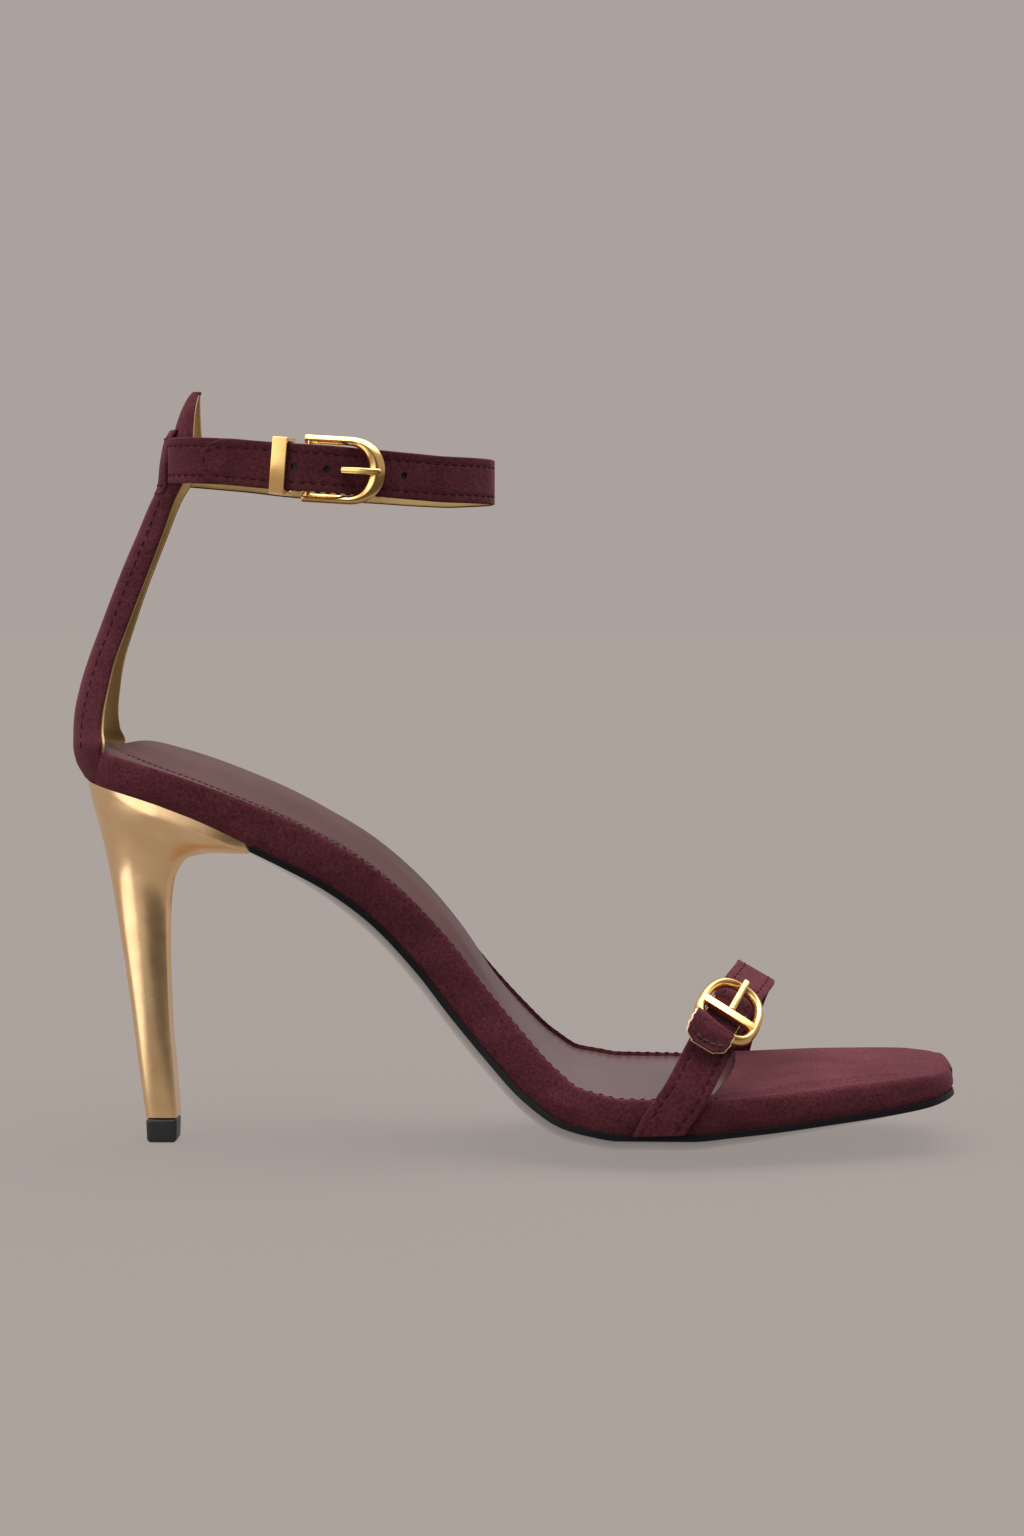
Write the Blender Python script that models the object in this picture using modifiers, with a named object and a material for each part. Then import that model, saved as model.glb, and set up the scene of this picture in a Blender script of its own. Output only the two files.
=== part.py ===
"""Ankle strap sandal with a high metal-look heel, square toe and two buckled straps, right shoe.

Frame: +X runs to the toe, +Y to the medial side, +Z up. The origin is the centre of the
heel tip's underside, so the floor is Z = 0.
"""
from math import cos, pi, radians, sin, sqrt

import bmesh
import bpy
from mathutils import Matrix, Vector

MM = 0.001

# Fits
GAP = 0.3 * MM
PIN_GAP = 0.3 * MM
OVERSHOOT = 6.0 * MM
SPACE_ABOVE = 30.0 * MM
SPACE_BELOW = 16.0 * MM
RECESS_OPENING = 14.0 * MM
REBATE_OPENING = 4.0 * MM

# Sole, seen from the side and from above
SOLE_LENGTH = 220.5 * MM
SEAT_OVERHANG = 21.9 * MM
HEEL_RISE = 91.8 * MM
BALL_WIDTH = 76.5 * MM
SEAT_ROUND = 24.0 * MM
TOE_ROUND = 7.0 * MM
TOE_FLAT = 0.62
TREAD_FLAT = 0.14
BOTTOM_CROWN = 7.3 * MM
OUTSOLE_THICKNESS = 1.4 * MM
OUTSOLE_EDGE_INSET = 0.5 * MM
OUTSOLE_ARRIS = 0.5 * MM

# Suede-covered platform and the sock that lies in it
RAND_HEIGHT = 9.6 * MM
FEATHER_INSET = 0.9 * MM
RAND_ROLL = 1.2 * MM
TOE_TOP_CROWN = 0.9 * MM
RIM_WIDTH = 1.3 * MM
SOCK_THICKNESS = 2.2 * MM
SOCK_RECESS = 1.2 * MM
SOCK_PAD = 4.4 * MM
SOCK_END = 0.742
SOCK_END_SLANT = 0.022
SOCK_END_BOW = 2.0 * MM
SOCK_EDGE_HEIGHT = 0.5 * MM
SOCK_EDGE_ROUND = 0.4 * MM
SOCK_START = 0.012
RECESS_START = 0.004
SLANT_FROM = 0.60
BOW_FROM = 0.68

# Heel and its tip
TIP_LENGTH = 7.9 * MM
TIP_WIDTH = 8.6 * MM
TIP_HEIGHT = 6.3 * MM
TIP_ROUND = 1.1 * MM
HEEL_TOP_HALF = 21.2 * MM
LIP_REACH = 25.2 * MM

# Heel stay and its back loop
STAY_WALL = 2.0 * MM
STAY_BASE_DROP = 5.8 * MM
STAY_BASE_Z = HEEL_RISE - STAY_BASE_DROP
STAY_HEIGHT = 102.3 * MM
STAY_BACK = 21.9 * MM
LOOP_WALL = 2.6 * MM
REBATE_ROWS = 8
LEAST_CURVE = 0.4 * MM

# Ankle strap
STRAP_WIDTH = 11.2 * MM
STRAP_THICKNESS = 1.4 * MM
ANKLE_LENGTH = 81.2 * MM
ANKLE_HALF_WIDTH = 25.7 * MM
ANKLE_BACK_X = 2.0 * MM
ANKLE_BACK_RISE = 84.9 * MM
ANKLE_BACK_Z = STAY_BASE_Z + ANKLE_BACK_RISE
ANKLE_DROP = 5.2 * MM
HOLE_DIAMETER = 1.7 * MM

# Ankle buckle, prong and keeper
BAR_AT = 0.485
CURVE_AT = 0.625
KEEPER_AT = 0.432
TIP_AT = 0.245
TIP_ROUNDING = 0.075
BAR_LAP = 0.012
BAR_DIAMETER = 1.6 * MM
EYE_WALL = 1.1 * MM
BAR_LIFT = 0.9 * MM
CURVE_LIFT = 2.9 * MM
FRAME_LENGTH = 18.5 * MM
FRAME_HALF_HEIGHT = 8.1 * MM
FRAME_ARM = 2.1 * MM
FRAME_CURVE = 3.9 * MM
FRAME_ARM_END = 1.2 * MM
FRAME_DEPTH = 2.0 * MM
FRAME_BEVEL = 0.4 * MM
PRONG_DIAMETER = 1.8 * MM
KEEPER_WIDTH = 3.7 * MM
KEEPER_HEIGHT = 13.7 * MM
KEEPER_WALL = 1.0 * MM
KEEPER_BEVEL = 0.5 * MM
KEEPER_REACH = 0.026
RING_WALL = 0.8 * MM
SLOT_LENGTH = 6.6 * MM
SLOT_AHEAD = 0.9 * MM
SLOT_RAISED = 0.6 * MM
SLOT_DEPTH = 9.0 * MM

# Toe strap, its loose end and its buckle
TOE_STRAP_WIDTH = 10.8 * MM
TOE_STRAP_DIP = radians(30)
TOE_BASE_X = 124.3 * MM
TOE_CREST_Z = 43.0 * MM
TOE_END_THICKNESS = 1.2 * MM
TOE_BAR_AT = 0.335
TOE_END_BELOW = 0.080
TOE_END_ABOVE = 0.035
TOE_FRAME_HALF = 7.5 * MM
TOE_FRAME_UP = 10.0 * MM
TOE_FRAME_DOWN = 6.6 * MM
TOE_FRAME_BAND = 2.0 * MM
TOE_BAR_WIDTH = 2.1 * MM
TOE_PRONG_DIAMETER = 1.5 * MM

# along: share of SOLE_LENGTH from the back; rise: share of HEEL_RISE; belly: share of
# BOTTOM_CROWN; rand: share of RAND_HEIGHT; half and swing: shares of BALL_WIDTH;
# roll: times RAND_ROLL; pad: share of SOCK_PAD; sink: share of SOCK_RECESS
SOLE_COLUMNS = ("along", "rise", "belly", "rand", "half", "swing", "roll", "pad", "sink")
SOLE_ROWS = (
    (0.000, 1.000, 0.07, 0.85, 0.300, 0.000, 1.0, 0.10, 0.2),
    (0.080, 0.930, 0.25, 0.84, 0.300, 0.000, 1.0, 0.95, 0.2),
    (0.140, 0.874, 0.32, 0.87, 0.302, 0.000, 1.0, 1.00, 0.2),
    (0.200, 0.806, 0.37, 0.95, 0.302, -0.002, 1.0, 0.95, 0.2),
    (0.250, 0.742, 0.45, 1.00, 0.293, -0.008, 1.0, 0.85, 0.3),
    (0.300, 0.664, 0.62, 1.00, 0.281, -0.012, 1.0, 0.75, 0.3),
    (0.350, 0.563, 0.78, 0.98, 0.273, -0.013, 1.0, 0.65, 0.4),
    (0.400, 0.428, 0.89, 1.00, 0.276, -0.012, 1.0, 0.50, 0.6),
    (0.440, 0.302, 0.96, 1.00, 0.299, -0.013, 1.0, 0.25, 0.8),
    (0.480, 0.188, 1.00, 1.00, 0.340, -0.011, 1.0, 0.05, 1.0),
    (0.520, 0.090, 1.00, 0.99, 0.401, -0.005, 1.0, 0.00, 1.0),
    (0.560, 0.028, 1.00, 0.94, 0.455, 0.003, 1.0, 0.00, 1.0),
    (0.590, 0.010, 1.00, 0.93, 0.482, 0.008, 1.0, 0.00, 1.0),
    (0.620, 0.000, 1.00, 0.90, 0.494, 0.010, 1.0, 0.00, 1.0),
    (0.700, 0.000, 1.00, 0.87, 0.499, 0.013, 1.1, 0.00, 1.0),
    (0.740, 0.009, 0.96, 0.86, 0.483, 0.022, 1.5, 0.00, 0.9),
    (0.790, 0.027, 0.84, 0.86, 0.458, 0.034, 2.2, 0.00, 0.8),
    (0.850, 0.053, 0.67, 0.85, 0.414, 0.046, 2.6, 0.00, 0.8),
    (0.910, 0.081, 0.48, 0.80, 0.361, 0.056, 2.4, 0.00, 0.8),
    (0.960, 0.112, 0.25, 0.67, 0.305, 0.070, 1.8, 0.00, 0.8),
    (1.000, 0.154, 0.00, 0.46, 0.247, 0.082, 1.0, 0.00, 0.8),
)
FLAT_FROM = 0.624
FLAT_TO = 0.696
SOLE_STATIONS = 34
SOCK_STATIONS = 24

# Where a cross-section of the sole has its points, in shares of its half width
ACROSS = (-0.82, -0.60, -0.36, -TREAD_FLAT, TREAD_FLAT, 0.36, 0.60, 0.82)

# The rand's face from the feather edge up: height: share of its height; feather: share of
# FEATHER_INSET; roll: share of the roll at its top
RAND_ROWS = (
    (0.00, 1.0, 0.00),
    (0.20, 0.2, 0.00),
    (0.50, 0.0, 0.00),
    (0.76, 0.0, 0.12),
    (0.93, 0.0, 0.45),
    (1.00, 0.0, 1.00),
)

# back, front and side: how far each face has flared from the tip's size, as shares of the
# way to the seat's; back_rise and front_rise: shares of HEEL_RISE; square: section power
HEEL_COLUMNS = ("back", "back_rise", "front", "front_rise", "side", "back_square", "front_square")
HEEL_ROWS = (
    (0.010, 0.000, 0.000, 0.000, 0.00, 5.0, 5.0),
    (0.092, 0.144, -0.054, 0.140, 0.00, 5.0, 5.0),
    (0.159, 0.270, -0.106, 0.265, 0.01, 4.6, 5.0),
    (0.248, 0.415, -0.129, 0.393, 0.03, 4.0, 5.0),
    (0.348, 0.550, -0.139, 0.510, 0.06, 3.5, 4.6),
    (0.430, 0.650, -0.132, 0.597, 0.11, 3.1, 4.2),
    (0.515, 0.746, -0.100, 0.684, 0.21, 2.8, 3.8),
    (0.600, 0.826, -0.010, 0.738, 0.37, 2.5, 3.6),
    (0.680, 0.893, 0.195, 0.775, 0.57, 2.3, 3.8),
    (0.740, 0.945, 0.530, 0.792, 0.79, 2.2, 4.4),
    (0.795, 0.998, 0.940, 0.794, 0.98, 2.1, 6.0),
    (0.830, 1.060, 1.040, 0.870, 1.06, 2.1, 6.0),
)

# height: share of STAY_HEIGHT above STAY_BASE_Z; back: the outer back line's place, as a
# share of STAY_BACK; reach, spread: half axes of the outer curve in shares of STAY_BACK;
# wrap: how far round the curve each arm goes, in degrees
STAY_COLUMNS = ("height", "back", "reach", "spread", "wrap")
STAY_ROWS = (
    (0.000, -0.70, 0.95, 0.80, 46),
    (0.065, -0.88, 1.05, 0.92, 48),
    (0.102, -0.97, 1.09, 0.98, 50),
    (0.138, -1.00, 1.09, 0.98, 52),
    (0.175, -1.00, 0.84, 0.75, 58),
    (0.212, -0.99, 0.64, 0.60, 67),
    (0.285, -0.92, 0.48, 0.465, 78),
    (0.359, -0.81, 0.375, 0.365, 87),
    (0.433, -0.68, 0.35, 0.29, 90),
    (0.506, -0.55, 0.345, 0.245, 90),
    (0.580, -0.41, 0.34, 0.23, 90),
    (0.653, -0.26, 0.325, 0.245, 90),
    (0.738, -0.085, 0.305, 0.30, 90),
    (0.790, 0.050, 0.30, 0.37, 90),
    (0.840, 0.120, 0.30, 0.41, 88),
    (0.885, 0.165, 0.29, 0.40, 86),
    (0.915, 0.195, 0.26, 0.34, 86),
    (0.945, 0.240, 0.215, 0.27, 86),
    (0.970, 0.290, 0.170, 0.19, 86),
    (0.990, 0.345, 0.125, 0.11, 86),
    (1.000, 0.385, 0.105, 0.06, 86),
)
LOOP_ROWS = (
    (0.752, -0.060, 0.33, 0.34, 56),
    (0.770, -0.020, 0.36, 0.40, 52),
    (0.825, 0.010, 0.38, 0.46, 46),
    (0.880, 0.062, 0.38, 0.46, 44),
    (0.905, 0.125, 0.34, 0.40, 46),
)

# turn: share of the way from the back of the ankle to the front; length: share of
# ANKLE_LENGTH; width: share of ANKLE_HALF_WIDTH; drop: share of ANKLE_DROP
ANKLE_COLUMNS = ("turn", "length", "width", "drop")
ANKLE_ROWS = (
    (0.00, 0.000, 0.00, 0.00),
    (0.10, 0.030, 0.32, 0.02),
    (0.20, 0.104, 0.60, 0.08),
    (0.30, 0.215, 0.805, 0.20),
    (0.40, 0.350, 0.94, 0.42),
    (0.50, 0.490, 1.00, 0.60),
    (0.60, 0.632, 0.97, 0.74),
    (0.70, 0.762, 0.835, 0.90),
    (0.80, 0.873, 0.615, 1.00),
    (0.90, 0.958, 0.345, 1.00),
    (0.96, 0.991, 0.155, 1.00),
    (1.00, 1.000, 0.00, 1.00),
)

# The free end's height over the layer below it, in strap thicknesses
LIFT_COLUMNS = ("turn", "lift")
LIFT_ROWS = (
    (0.00, 1.25),
    (0.33, 1.27),
    (0.38, 1.55),
    (0.432, 2.25),
    (0.485, 3.05),
    (0.508, 2.80),
    (0.530, 1.90),
    (0.550, 0.90),
    (0.570, 0.18),
    (0.590, 0.00),
    (1.00, 0.00),
)
HOLE_TURNS = (0.462, 0.525, 0.687)

# A prong's middle line past its root: reach: share of the way from the bar to the frame's
# inner edge; rise: share of the height at which it rests on the frame
ANKLE_PRONG_ROWS = (
    (0.32, 0.15),
    (0.60, 0.50),
    (0.85, 0.92),
    (1.00, 1.00),
    (1.15, 1.00),
    (1.22, 0.95),
)
TOE_PRONG_ROWS = (
    (0.50, 0.55),
    (1.00, 1.00),
    (1.20, 1.00),
)

# The toe strap's middle line: length: from TOE_BASE_X, in shares of SOLE_LENGTH; width: share
# of the way out to its seat on the sole's wall there; height: share of TOE_CREST_Z
TOE_COLUMNS = ("along", "length", "width", "height")
TOE_ROWS = (
    (0.00, -0.010, -1.000, 0.10),
    (0.08, 0.004, -1.000, 0.25),
    (0.17, 0.026, -0.998, 0.42),
    (0.26, 0.051, -0.885, 0.64),
    (0.36, 0.077, -0.650, 0.845),
    (0.45, 0.100, -0.330, 0.965),
    (0.53, 0.113, 0.000, 1.000),
    (0.62, 0.116, 0.330, 0.960),
    (0.71, 0.111, 0.650, 0.835),
    (0.80, 0.103, 0.904, 0.640),
    (0.88, 0.094, 1.006, 0.43),
    (0.95, 0.085, 1.006, 0.25),
    (1.00, 0.079, 1.006, 0.10),
)


def remove_scene_objects():
    for item in list(bpy.data.objects):
        bpy.data.objects.remove(item, do_unlink=True)


def new_collection(name):
    group = bpy.data.collections.new(name)
    bpy.context.scene.collection.children.link(group)
    return group


def finish(name, colour, roughness, metallic=0.0):
    made = bpy.data.materials.new(name)
    made.use_nodes = True
    shader = made.node_tree.nodes["Principled BSDF"]
    shader.inputs["Base Color"].default_value = (*colour, 1.0)
    shader.inputs["Roughness"].default_value = roughness
    shader.inputs["Metallic"].default_value = metallic
    return made


def place(name, mesh, group, surface):
    """Link a mesh as a part, with its finish."""
    piece = bpy.data.objects.new(name, mesh)
    group.objects.link(piece)
    mesh.materials.clear()
    mesh.materials.append(surface)
    mesh.shade_smooth()
    mesh.set_sharp_from_angle(angle=radians(40))
    return piece


def place_helper(name, mesh, group):
    """Link a mesh that only cuts or joins another."""
    piece = bpy.data.objects.new(name, mesh)
    group.objects.link(piece)
    piece.hide_render = True
    piece.display_type = "WIRE"
    return piece


def combine(piece, helper, operation):
    step = piece.modifiers.new(helper.name, "BOOLEAN")
    step.operation = operation
    step.solver = "EXACT"
    step.object = helper


def curve_through(rows, columns, name, at):
    """Value of a table's column between its rows, on a smooth curve that never overshoots."""
    column = columns.index(name)
    at = min(max(at, rows[0][0]), rows[-1][0])
    spot = max(k for k in range(len(rows) - 1) if rows[k][0] <= at or k == 0)
    places = [row[0] for row in rows]
    values = [row[column] for row in rows]

    def secant(k):
        return (values[k + 1] - values[k]) / (places[k + 1] - places[k])

    def slope(k):
        if k == 0:
            return secant(0)
        if k == len(rows) - 1:
            return secant(k - 1)
        before, after = secant(k - 1), secant(k)
        if before * after <= 0:
            return 0.0
        return 2 * before * after / (before + after)

    span = places[spot + 1] - places[spot]
    t = (at - places[spot]) / span
    start, end = values[spot], values[spot + 1]
    bend = span * (slope(spot) * (t - 2 * t**2 + t**3) + slope(spot + 1) * (t**3 - t**2))
    return start + (end - start) * (3 * t**2 - 2 * t**3) + bend


def loft(name, rings):
    """Closed solid through rings of equal count, with its two end rings capped."""
    build = bmesh.new()
    loops = [[build.verts.new(point) for point in ring] for ring in rings]
    count = len(loops[0])
    for first, second in zip(loops, loops[1:]):
        for k in range(count):
            after = (k + 1) % count
            build.faces.new((first[k], first[after], second[after], second[k]))
    build.faces.new(list(reversed(loops[0])))
    build.faces.new(loops[-1])
    bmesh.ops.recalc_face_normals(build, faces=build.faces)
    bmesh.ops.triangulate(build, faces=[face for face in build.faces if len(face.verts) > 4])
    mesh = bpy.data.meshes.new(name)
    build.to_mesh(mesh)
    build.free()
    return mesh


def sole_value(name, along):
    return curve_through(SOLE_ROWS, SOLE_COLUMNS, name, along)


def along_at(x):
    return min(max((x + SEAT_OVERHANG) / SOLE_LENGTH, 0.0), 1.0)


def end_rounding(along):
    """Share of the table's width that is left where the outline rounds off at either end."""
    from_back = along * SOLE_LENGTH
    from_front = (1.0 - along) * SOLE_LENGTH
    share = 1.0
    if from_back < SEAT_ROUND:
        share = max(sqrt(1.0 - (1.0 - from_back / SEAT_ROUND) ** 2), 0.1)
    if from_front < TOE_ROUND:
        share *= TOE_FLAT + (1.0 - TOE_FLAT) * sqrt(1.0 - (1.0 - from_front / TOE_ROUND) ** 2)
    return share


def outline(along, side):
    """A point of the sole's outline; side is -1 on the lateral edge and 1 on the medial."""
    half = sole_value("half", along) * end_rounding(along)
    swing = sole_value("swing", along)
    return Vector((along * SOLE_LENGTH - SEAT_OVERHANG, (swing + side * half) * BALL_WIDTH))


def inset_outline(along, side, inset):
    step = 0.0012
    before = outline(max(along - step, 0.0), side)
    after = outline(min(along + step, 1.0), side)
    run = (after - before).normalized()
    inward = Vector((run.y, -run.x)) * side
    return outline(along, side) + inward * inset


def edge_level(along):
    """Height of the platform's lower edge above the floor."""
    rise = sole_value("rise", along) * HEEL_RISE
    return OUTSOLE_THICKNESS + GAP + rise + sole_value("belly", along) * BOTTOM_CROWN


def profile_normal(along):
    step = 0.004
    low = max(along - step, 0.0)
    high = min(along + step, 1.0)
    climb = (edge_level(high) - edge_level(low)) / ((high - low) * SOLE_LENGTH)
    return Vector((-climb, 0.0, 1.0)).normalized()


def hollow_share(x, y):
    """How much of the bottom's crown is missing at a place: 0 in the flat middle, 1 at the edge."""
    along = along_at(x)
    half = sole_value("half", along) * BALL_WIDTH
    across = abs(y - sole_value("swing", along) * BALL_WIDTH) / half
    return min(max((across - TREAD_FLAT) / (1.0 - TREAD_FLAT), 0.0), 1.0) ** 1.8


def sole_point(plan, height, belly=True):
    """A point over the plan, at a height square to the sole's lower surface."""
    along = along_at(plan.x)
    level = edge_level(along)
    if belly:
        crown = sole_value("belly", along) * BOTTOM_CROWN
        level -= crown * (1.0 - hollow_share(plan.x, plan.y))
    return Vector((plan.x, plan.y, level)) + profile_normal(along) * height


def stations(start, end, count):
    """Places along the sole, closer together towards its ends, with the tread's flat kept."""
    even = [0.5 - 0.5 * cos(pi * k / count) for k in range(count + 1)]
    places = [start + (end - start) * share for share in even]
    kept = [place for place in (FLAT_FROM, FLAT_TO) if start < place < end]
    clear = [place for place in places if all(abs(place - flat) > 0.006 for flat in kept)]
    return sorted(clear + kept)


def plan_across(along, inset, share, slant=0.0, bow=0.0):
    """A place in plan between the two edges; slant turns the section, bow pushes its middle."""
    left = inset_outline(min(max(along - slant, 0.0), 1.0), -1, inset)
    right = inset_outline(min(max(along + slant, 0.0), 1.0), 1, inset)
    plan = left.lerp(right, (share + 1.0) / 2.0)
    plan.x += bow * (1.0 - share**2)
    return plan


def sole_ring(along, side_levels, floor_height, top_height, slant=0.0, bow=0.0,
              top_crowned=False, floor_crowned=True):
    """One cross-section: up the lateral wall, over the top, down the medial wall, back below.

    side_levels holds (inset, height) pairs from the bottom up; top_height takes the share
    across and the station; a crowned face follows the sole's crown.
    """
    top_inset = side_levels[-1][0]
    bottom_inset = side_levels[0][0]
    ring = [sole_point(plan_across(along, inset, -1, slant), height) for inset, height in side_levels]
    for share in ACROSS:
        plan = plan_across(along, top_inset, share, slant, bow)
        ring.append(sole_point(plan, top_height(share, along), top_crowned))
    for inset, height in reversed(side_levels):
        ring.append(sole_point(plan_across(along, inset, 1, slant), height))
    for share in reversed(ACROSS):
        plan = plan_across(along, bottom_inset, share, slant, bow)
        ring.append(sole_point(plan, floor_height, floor_crowned))
    return ring


def rand_height(along):
    return sole_value("rand", along) * RAND_HEIGHT


def platform_mesh():
    """The covered board: rand, rim and the toe's top, before the sock's recess is cut."""
    def top(share, along):
        toe = min(3.0 * max(along - SOCK_END, 0.0) / (1.0 - SOCK_END), 1.0)
        return rand_height(along) + TOE_TOP_CROWN * (1.0 - share**2) * toe

    rings = []
    for along in stations(0.0, 1.0, SOLE_STATIONS):
        roll = sole_value("roll", along) * RAND_ROLL
        levels = [
            (feather * FEATHER_INSET + rolled * roll, height * rand_height(along))
            for height, feather, rolled in RAND_ROWS
        ]
        rings.append(sole_ring(along, levels, 0.0, top))
    return loft("platform", rings)


def outsole_mesh():
    low = -GAP - OUTSOLE_THICKNESS
    levels = (
        (OUTSOLE_EDGE_INSET + OUTSOLE_ARRIS, low),
        (OUTSOLE_EDGE_INSET, low + OUTSOLE_ARRIS),
        (OUTSOLE_EDGE_INSET, -GAP),
    )
    start = along_at(LIP_REACH + GAP)
    spacing = 0.008
    places = [start]
    places += [place for place in stations(0.0, 1.0, SOLE_STATIONS) if place > start + spacing]
    rings = [
        sole_ring(along, levels, low, lambda share, place: -GAP, top_crowned=True)
        for along in places
    ]
    return loft("outsole", rings)


def sock_mesh(name, grow, opening, start):
    """The padded sock, or with grow above nought the open recess that it lies in."""
    def edge(along):
        return rand_height(along) - sole_value("sink", along) * SOCK_RECESS + opening

    rings = []
    for along in stations(start, SOCK_END, SOCK_STATIONS):
        slant = SOCK_END_SLANT * max((along - SLANT_FROM) / (SOCK_END - SLANT_FROM), 0.0)
        bow = SOCK_END_BOW * max((along - BOW_FROM) / (SOCK_END - BOW_FROM), 0.0)
        floor = rand_height(along) - SOCK_RECESS - SOCK_THICKNESS - grow
        inset = RIM_WIDTH + GAP - grow
        ahead = along + grow / SOLE_LENGTH * (2 * along / SOCK_END - 1.0)
        levels = (
            (inset, floor),
            (inset, edge(along) - SOCK_EDGE_HEIGHT),
            (inset + max(SOCK_EDGE_ROUND - grow, 0.0), edge(along)),
        )

        def top(share, place):
            return edge(along) + sole_value("pad", place) * SOCK_PAD * (1.0 - abs(share) ** 2.4)

        rings.append(sole_ring(ahead, levels, floor, top, slant, bow, floor_crowned=False))
    return loft(name, rings)


def sole_space(name, low, high):
    """Everything between two heights over the sole's lower surface, past its outline too."""
    levels = ((-OVERSHOOT, low), (-OVERSHOOT, high))
    rings = [
        sole_ring(along, levels, low, lambda share, place: high, top_crowned=True)
        for along in stations(0.0, 1.0, SOLE_STATIONS)
    ]
    return loft(name, rings)


def heel_mesh():
    """The heel through sections that tilt from level at the tip to the seat's slope."""
    around = 28
    tip_half = TIP_LENGTH / 2
    floor = TIP_HEIGHT + GAP
    tall = HEEL_RISE - TIP_HEIGHT
    rings = []
    for row in HEEL_ROWS:
        value = dict(zip(HEEL_COLUMNS, row))
        back_x = -tip_half - value["back"] * (SEAT_OVERHANG - tip_half)
        front_x = tip_half + value["front"] * (LIP_REACH - tip_half)
        back = Vector((back_x, 0.0, floor + value["back_rise"] * tall))
        front = Vector((front_x, 0.0, floor + value["front_rise"] * tall))
        half = TIP_WIDTH / 2 + value["side"] * (HEEL_TOP_HALF - TIP_WIDTH / 2)
        ring = []
        for k in range(around):
            angle = 2 * pi * (k + 0.5) / around
            power = value["front_square"] if cos(angle) > 0 else value["back_square"]
            length = abs(cos(angle)) ** (2 / power) * (1 if cos(angle) > 0 else -1)
            width = abs(sin(angle)) ** (2 / power) * (1 if sin(angle) > 0 else -1)
            point = back.lerp(front, (length + 1.0) / 2.0)
            ring.append(point + Vector((0.0, width * half, 0.0)))
        rings.append(ring)
    return loft("heel", rings)


def cradle_mesh(name, rows, outer, inner, extra_wrap=0.0):
    """A strip that cups the back of the foot: an outer and an inner curve at each height."""
    steps = 9
    rings = []
    for height, back, reach, spread, wrap in rows:
        level = STAY_BASE_Z + height * STAY_HEIGHT
        far = radians(wrap)
        ring = []
        there = range(-steps, steps + 1)
        for offset, turns in ((outer, there), (inner, reversed(there))):
            length = max(reach * STAY_BACK + offset, LEAST_CURVE)
            width = max(spread * STAY_BACK + offset, LEAST_CURVE)
            end_angle = far + extra_wrap / width
            for turn in turns:
                angle = end_angle * turn / steps
                x = back * STAY_BACK + reach * STAY_BACK - length * cos(angle)
                ring.append(Vector((x, width * sin(angle), level)))
        rings.append(ring)
    return loft(name, rings)


def ribbon_mesh(name, spots, outward, width, thickness, shares=None):
    """A flat strap through spots; outward gives each spot's facing and shares its width."""
    rings = []
    deep = thickness / 2
    trim = thickness * 0.28
    for k, spot in enumerate(spots):
        before = spots[max(k - 1, 0)]
        after = spots[min(k + 1, len(spots) - 1)]
        run = (after - before).normalized()
        face = (outward[k] - run * outward[k].dot(run)).normalized()
        across = run.cross(face)
        half = width / 2 * (shares[k] if shares else 1.0)
        corner = min(trim, half / 2)
        section = (
            (half - corner, deep),
            (half, deep - corner),
            (half, corner - deep),
            (half - corner, -deep),
            (corner - half, -deep),
            (-half, corner - deep),
            (-half, deep - corner),
            (corner - half, deep),
        )
        rings.append([spot + across * a + face * b for a, b in section])
    return loft(name, rings)


def ankle_spot(turn, side, lift):
    """Middle of the ankle strap at a turn, its outward facing and its way round."""
    def base(at):
        return Vector((
            ANKLE_BACK_X + curve_through(ANKLE_ROWS, ANKLE_COLUMNS, "length", at) * ANKLE_LENGTH,
            side * curve_through(ANKLE_ROWS, ANKLE_COLUMNS, "width", at) * ANKLE_HALF_WIDTH,
            ANKLE_BACK_Z - curve_through(ANKLE_ROWS, ANKLE_COLUMNS, "drop", at) * ANKLE_DROP,
        ))

    step = 0.012
    if turn < step or turn > 1.0 - step:
        face = Vector((-1.0 if turn < step else 1.0, 0.0, 0.0))
    else:
        run = base(turn + step) - base(turn - step)
        face = Vector((-run.y, run.x, 0.0)).normalized() * side
    return base(turn) + face * lift, face


def free_end_lift(turn):
    return curve_through(LIFT_ROWS, LIFT_COLUMNS, "lift", turn) * STRAP_THICKNESS


def strap_mesh():
    """One strap: from the buckle's bar round the back, the inside and the front to its free end."""
    spots, faces, shares = [], [], []

    def add(turn, side, lift, share=1.0):
        spot, face = ankle_spot(turn, side, lift)
        spots.append(spot)
        faces.append(face)
        shares.append(share)

    near_steps, far_steps, end_steps, tip_steps = 15, 26, 26, 5
    for k in range(near_steps):
        add((BAR_AT - BAR_LAP) * (1 - k / near_steps), -1, 0.0)
    for k in range(far_steps + 1):
        add(k / far_steps, 1, 0.0)
    for k in range(1, end_steps + 1):
        turn = 1.0 - (1.0 - TIP_AT - TIP_ROUNDING) * k / end_steps
        add(turn, -1, free_end_lift(turn))
    for k in range(1, tip_steps + 1):
        share = 0.985 * k / tip_steps
        add(TIP_AT + TIP_ROUNDING * (1 - share), -1, free_end_lift(TIP_AT), sqrt(1 - share**2))
    return ribbon_mesh("ankle_strap", spots, faces, STRAP_WIDTH, STRAP_THICKNESS, shares)


def plate_mesh(name, splines, depth):
    """A flat plate from 2D outlines, with its welded mesh taken off the curve."""
    curve = bpy.data.curves.new(name, "CURVE")
    curve.dimensions = "2D"
    curve.fill_mode = "BOTH"
    curve.extrude = depth / 2
    for points in splines:
        spline = curve.splines.new("POLY")
        spline.points.add(len(points) - 1)
        spline.use_cyclic_u = True
        for slot, point in zip(spline.points, points):
            slot.co = (point[0], point[1], 0.0, 1.0)
    return baked(curve)


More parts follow.
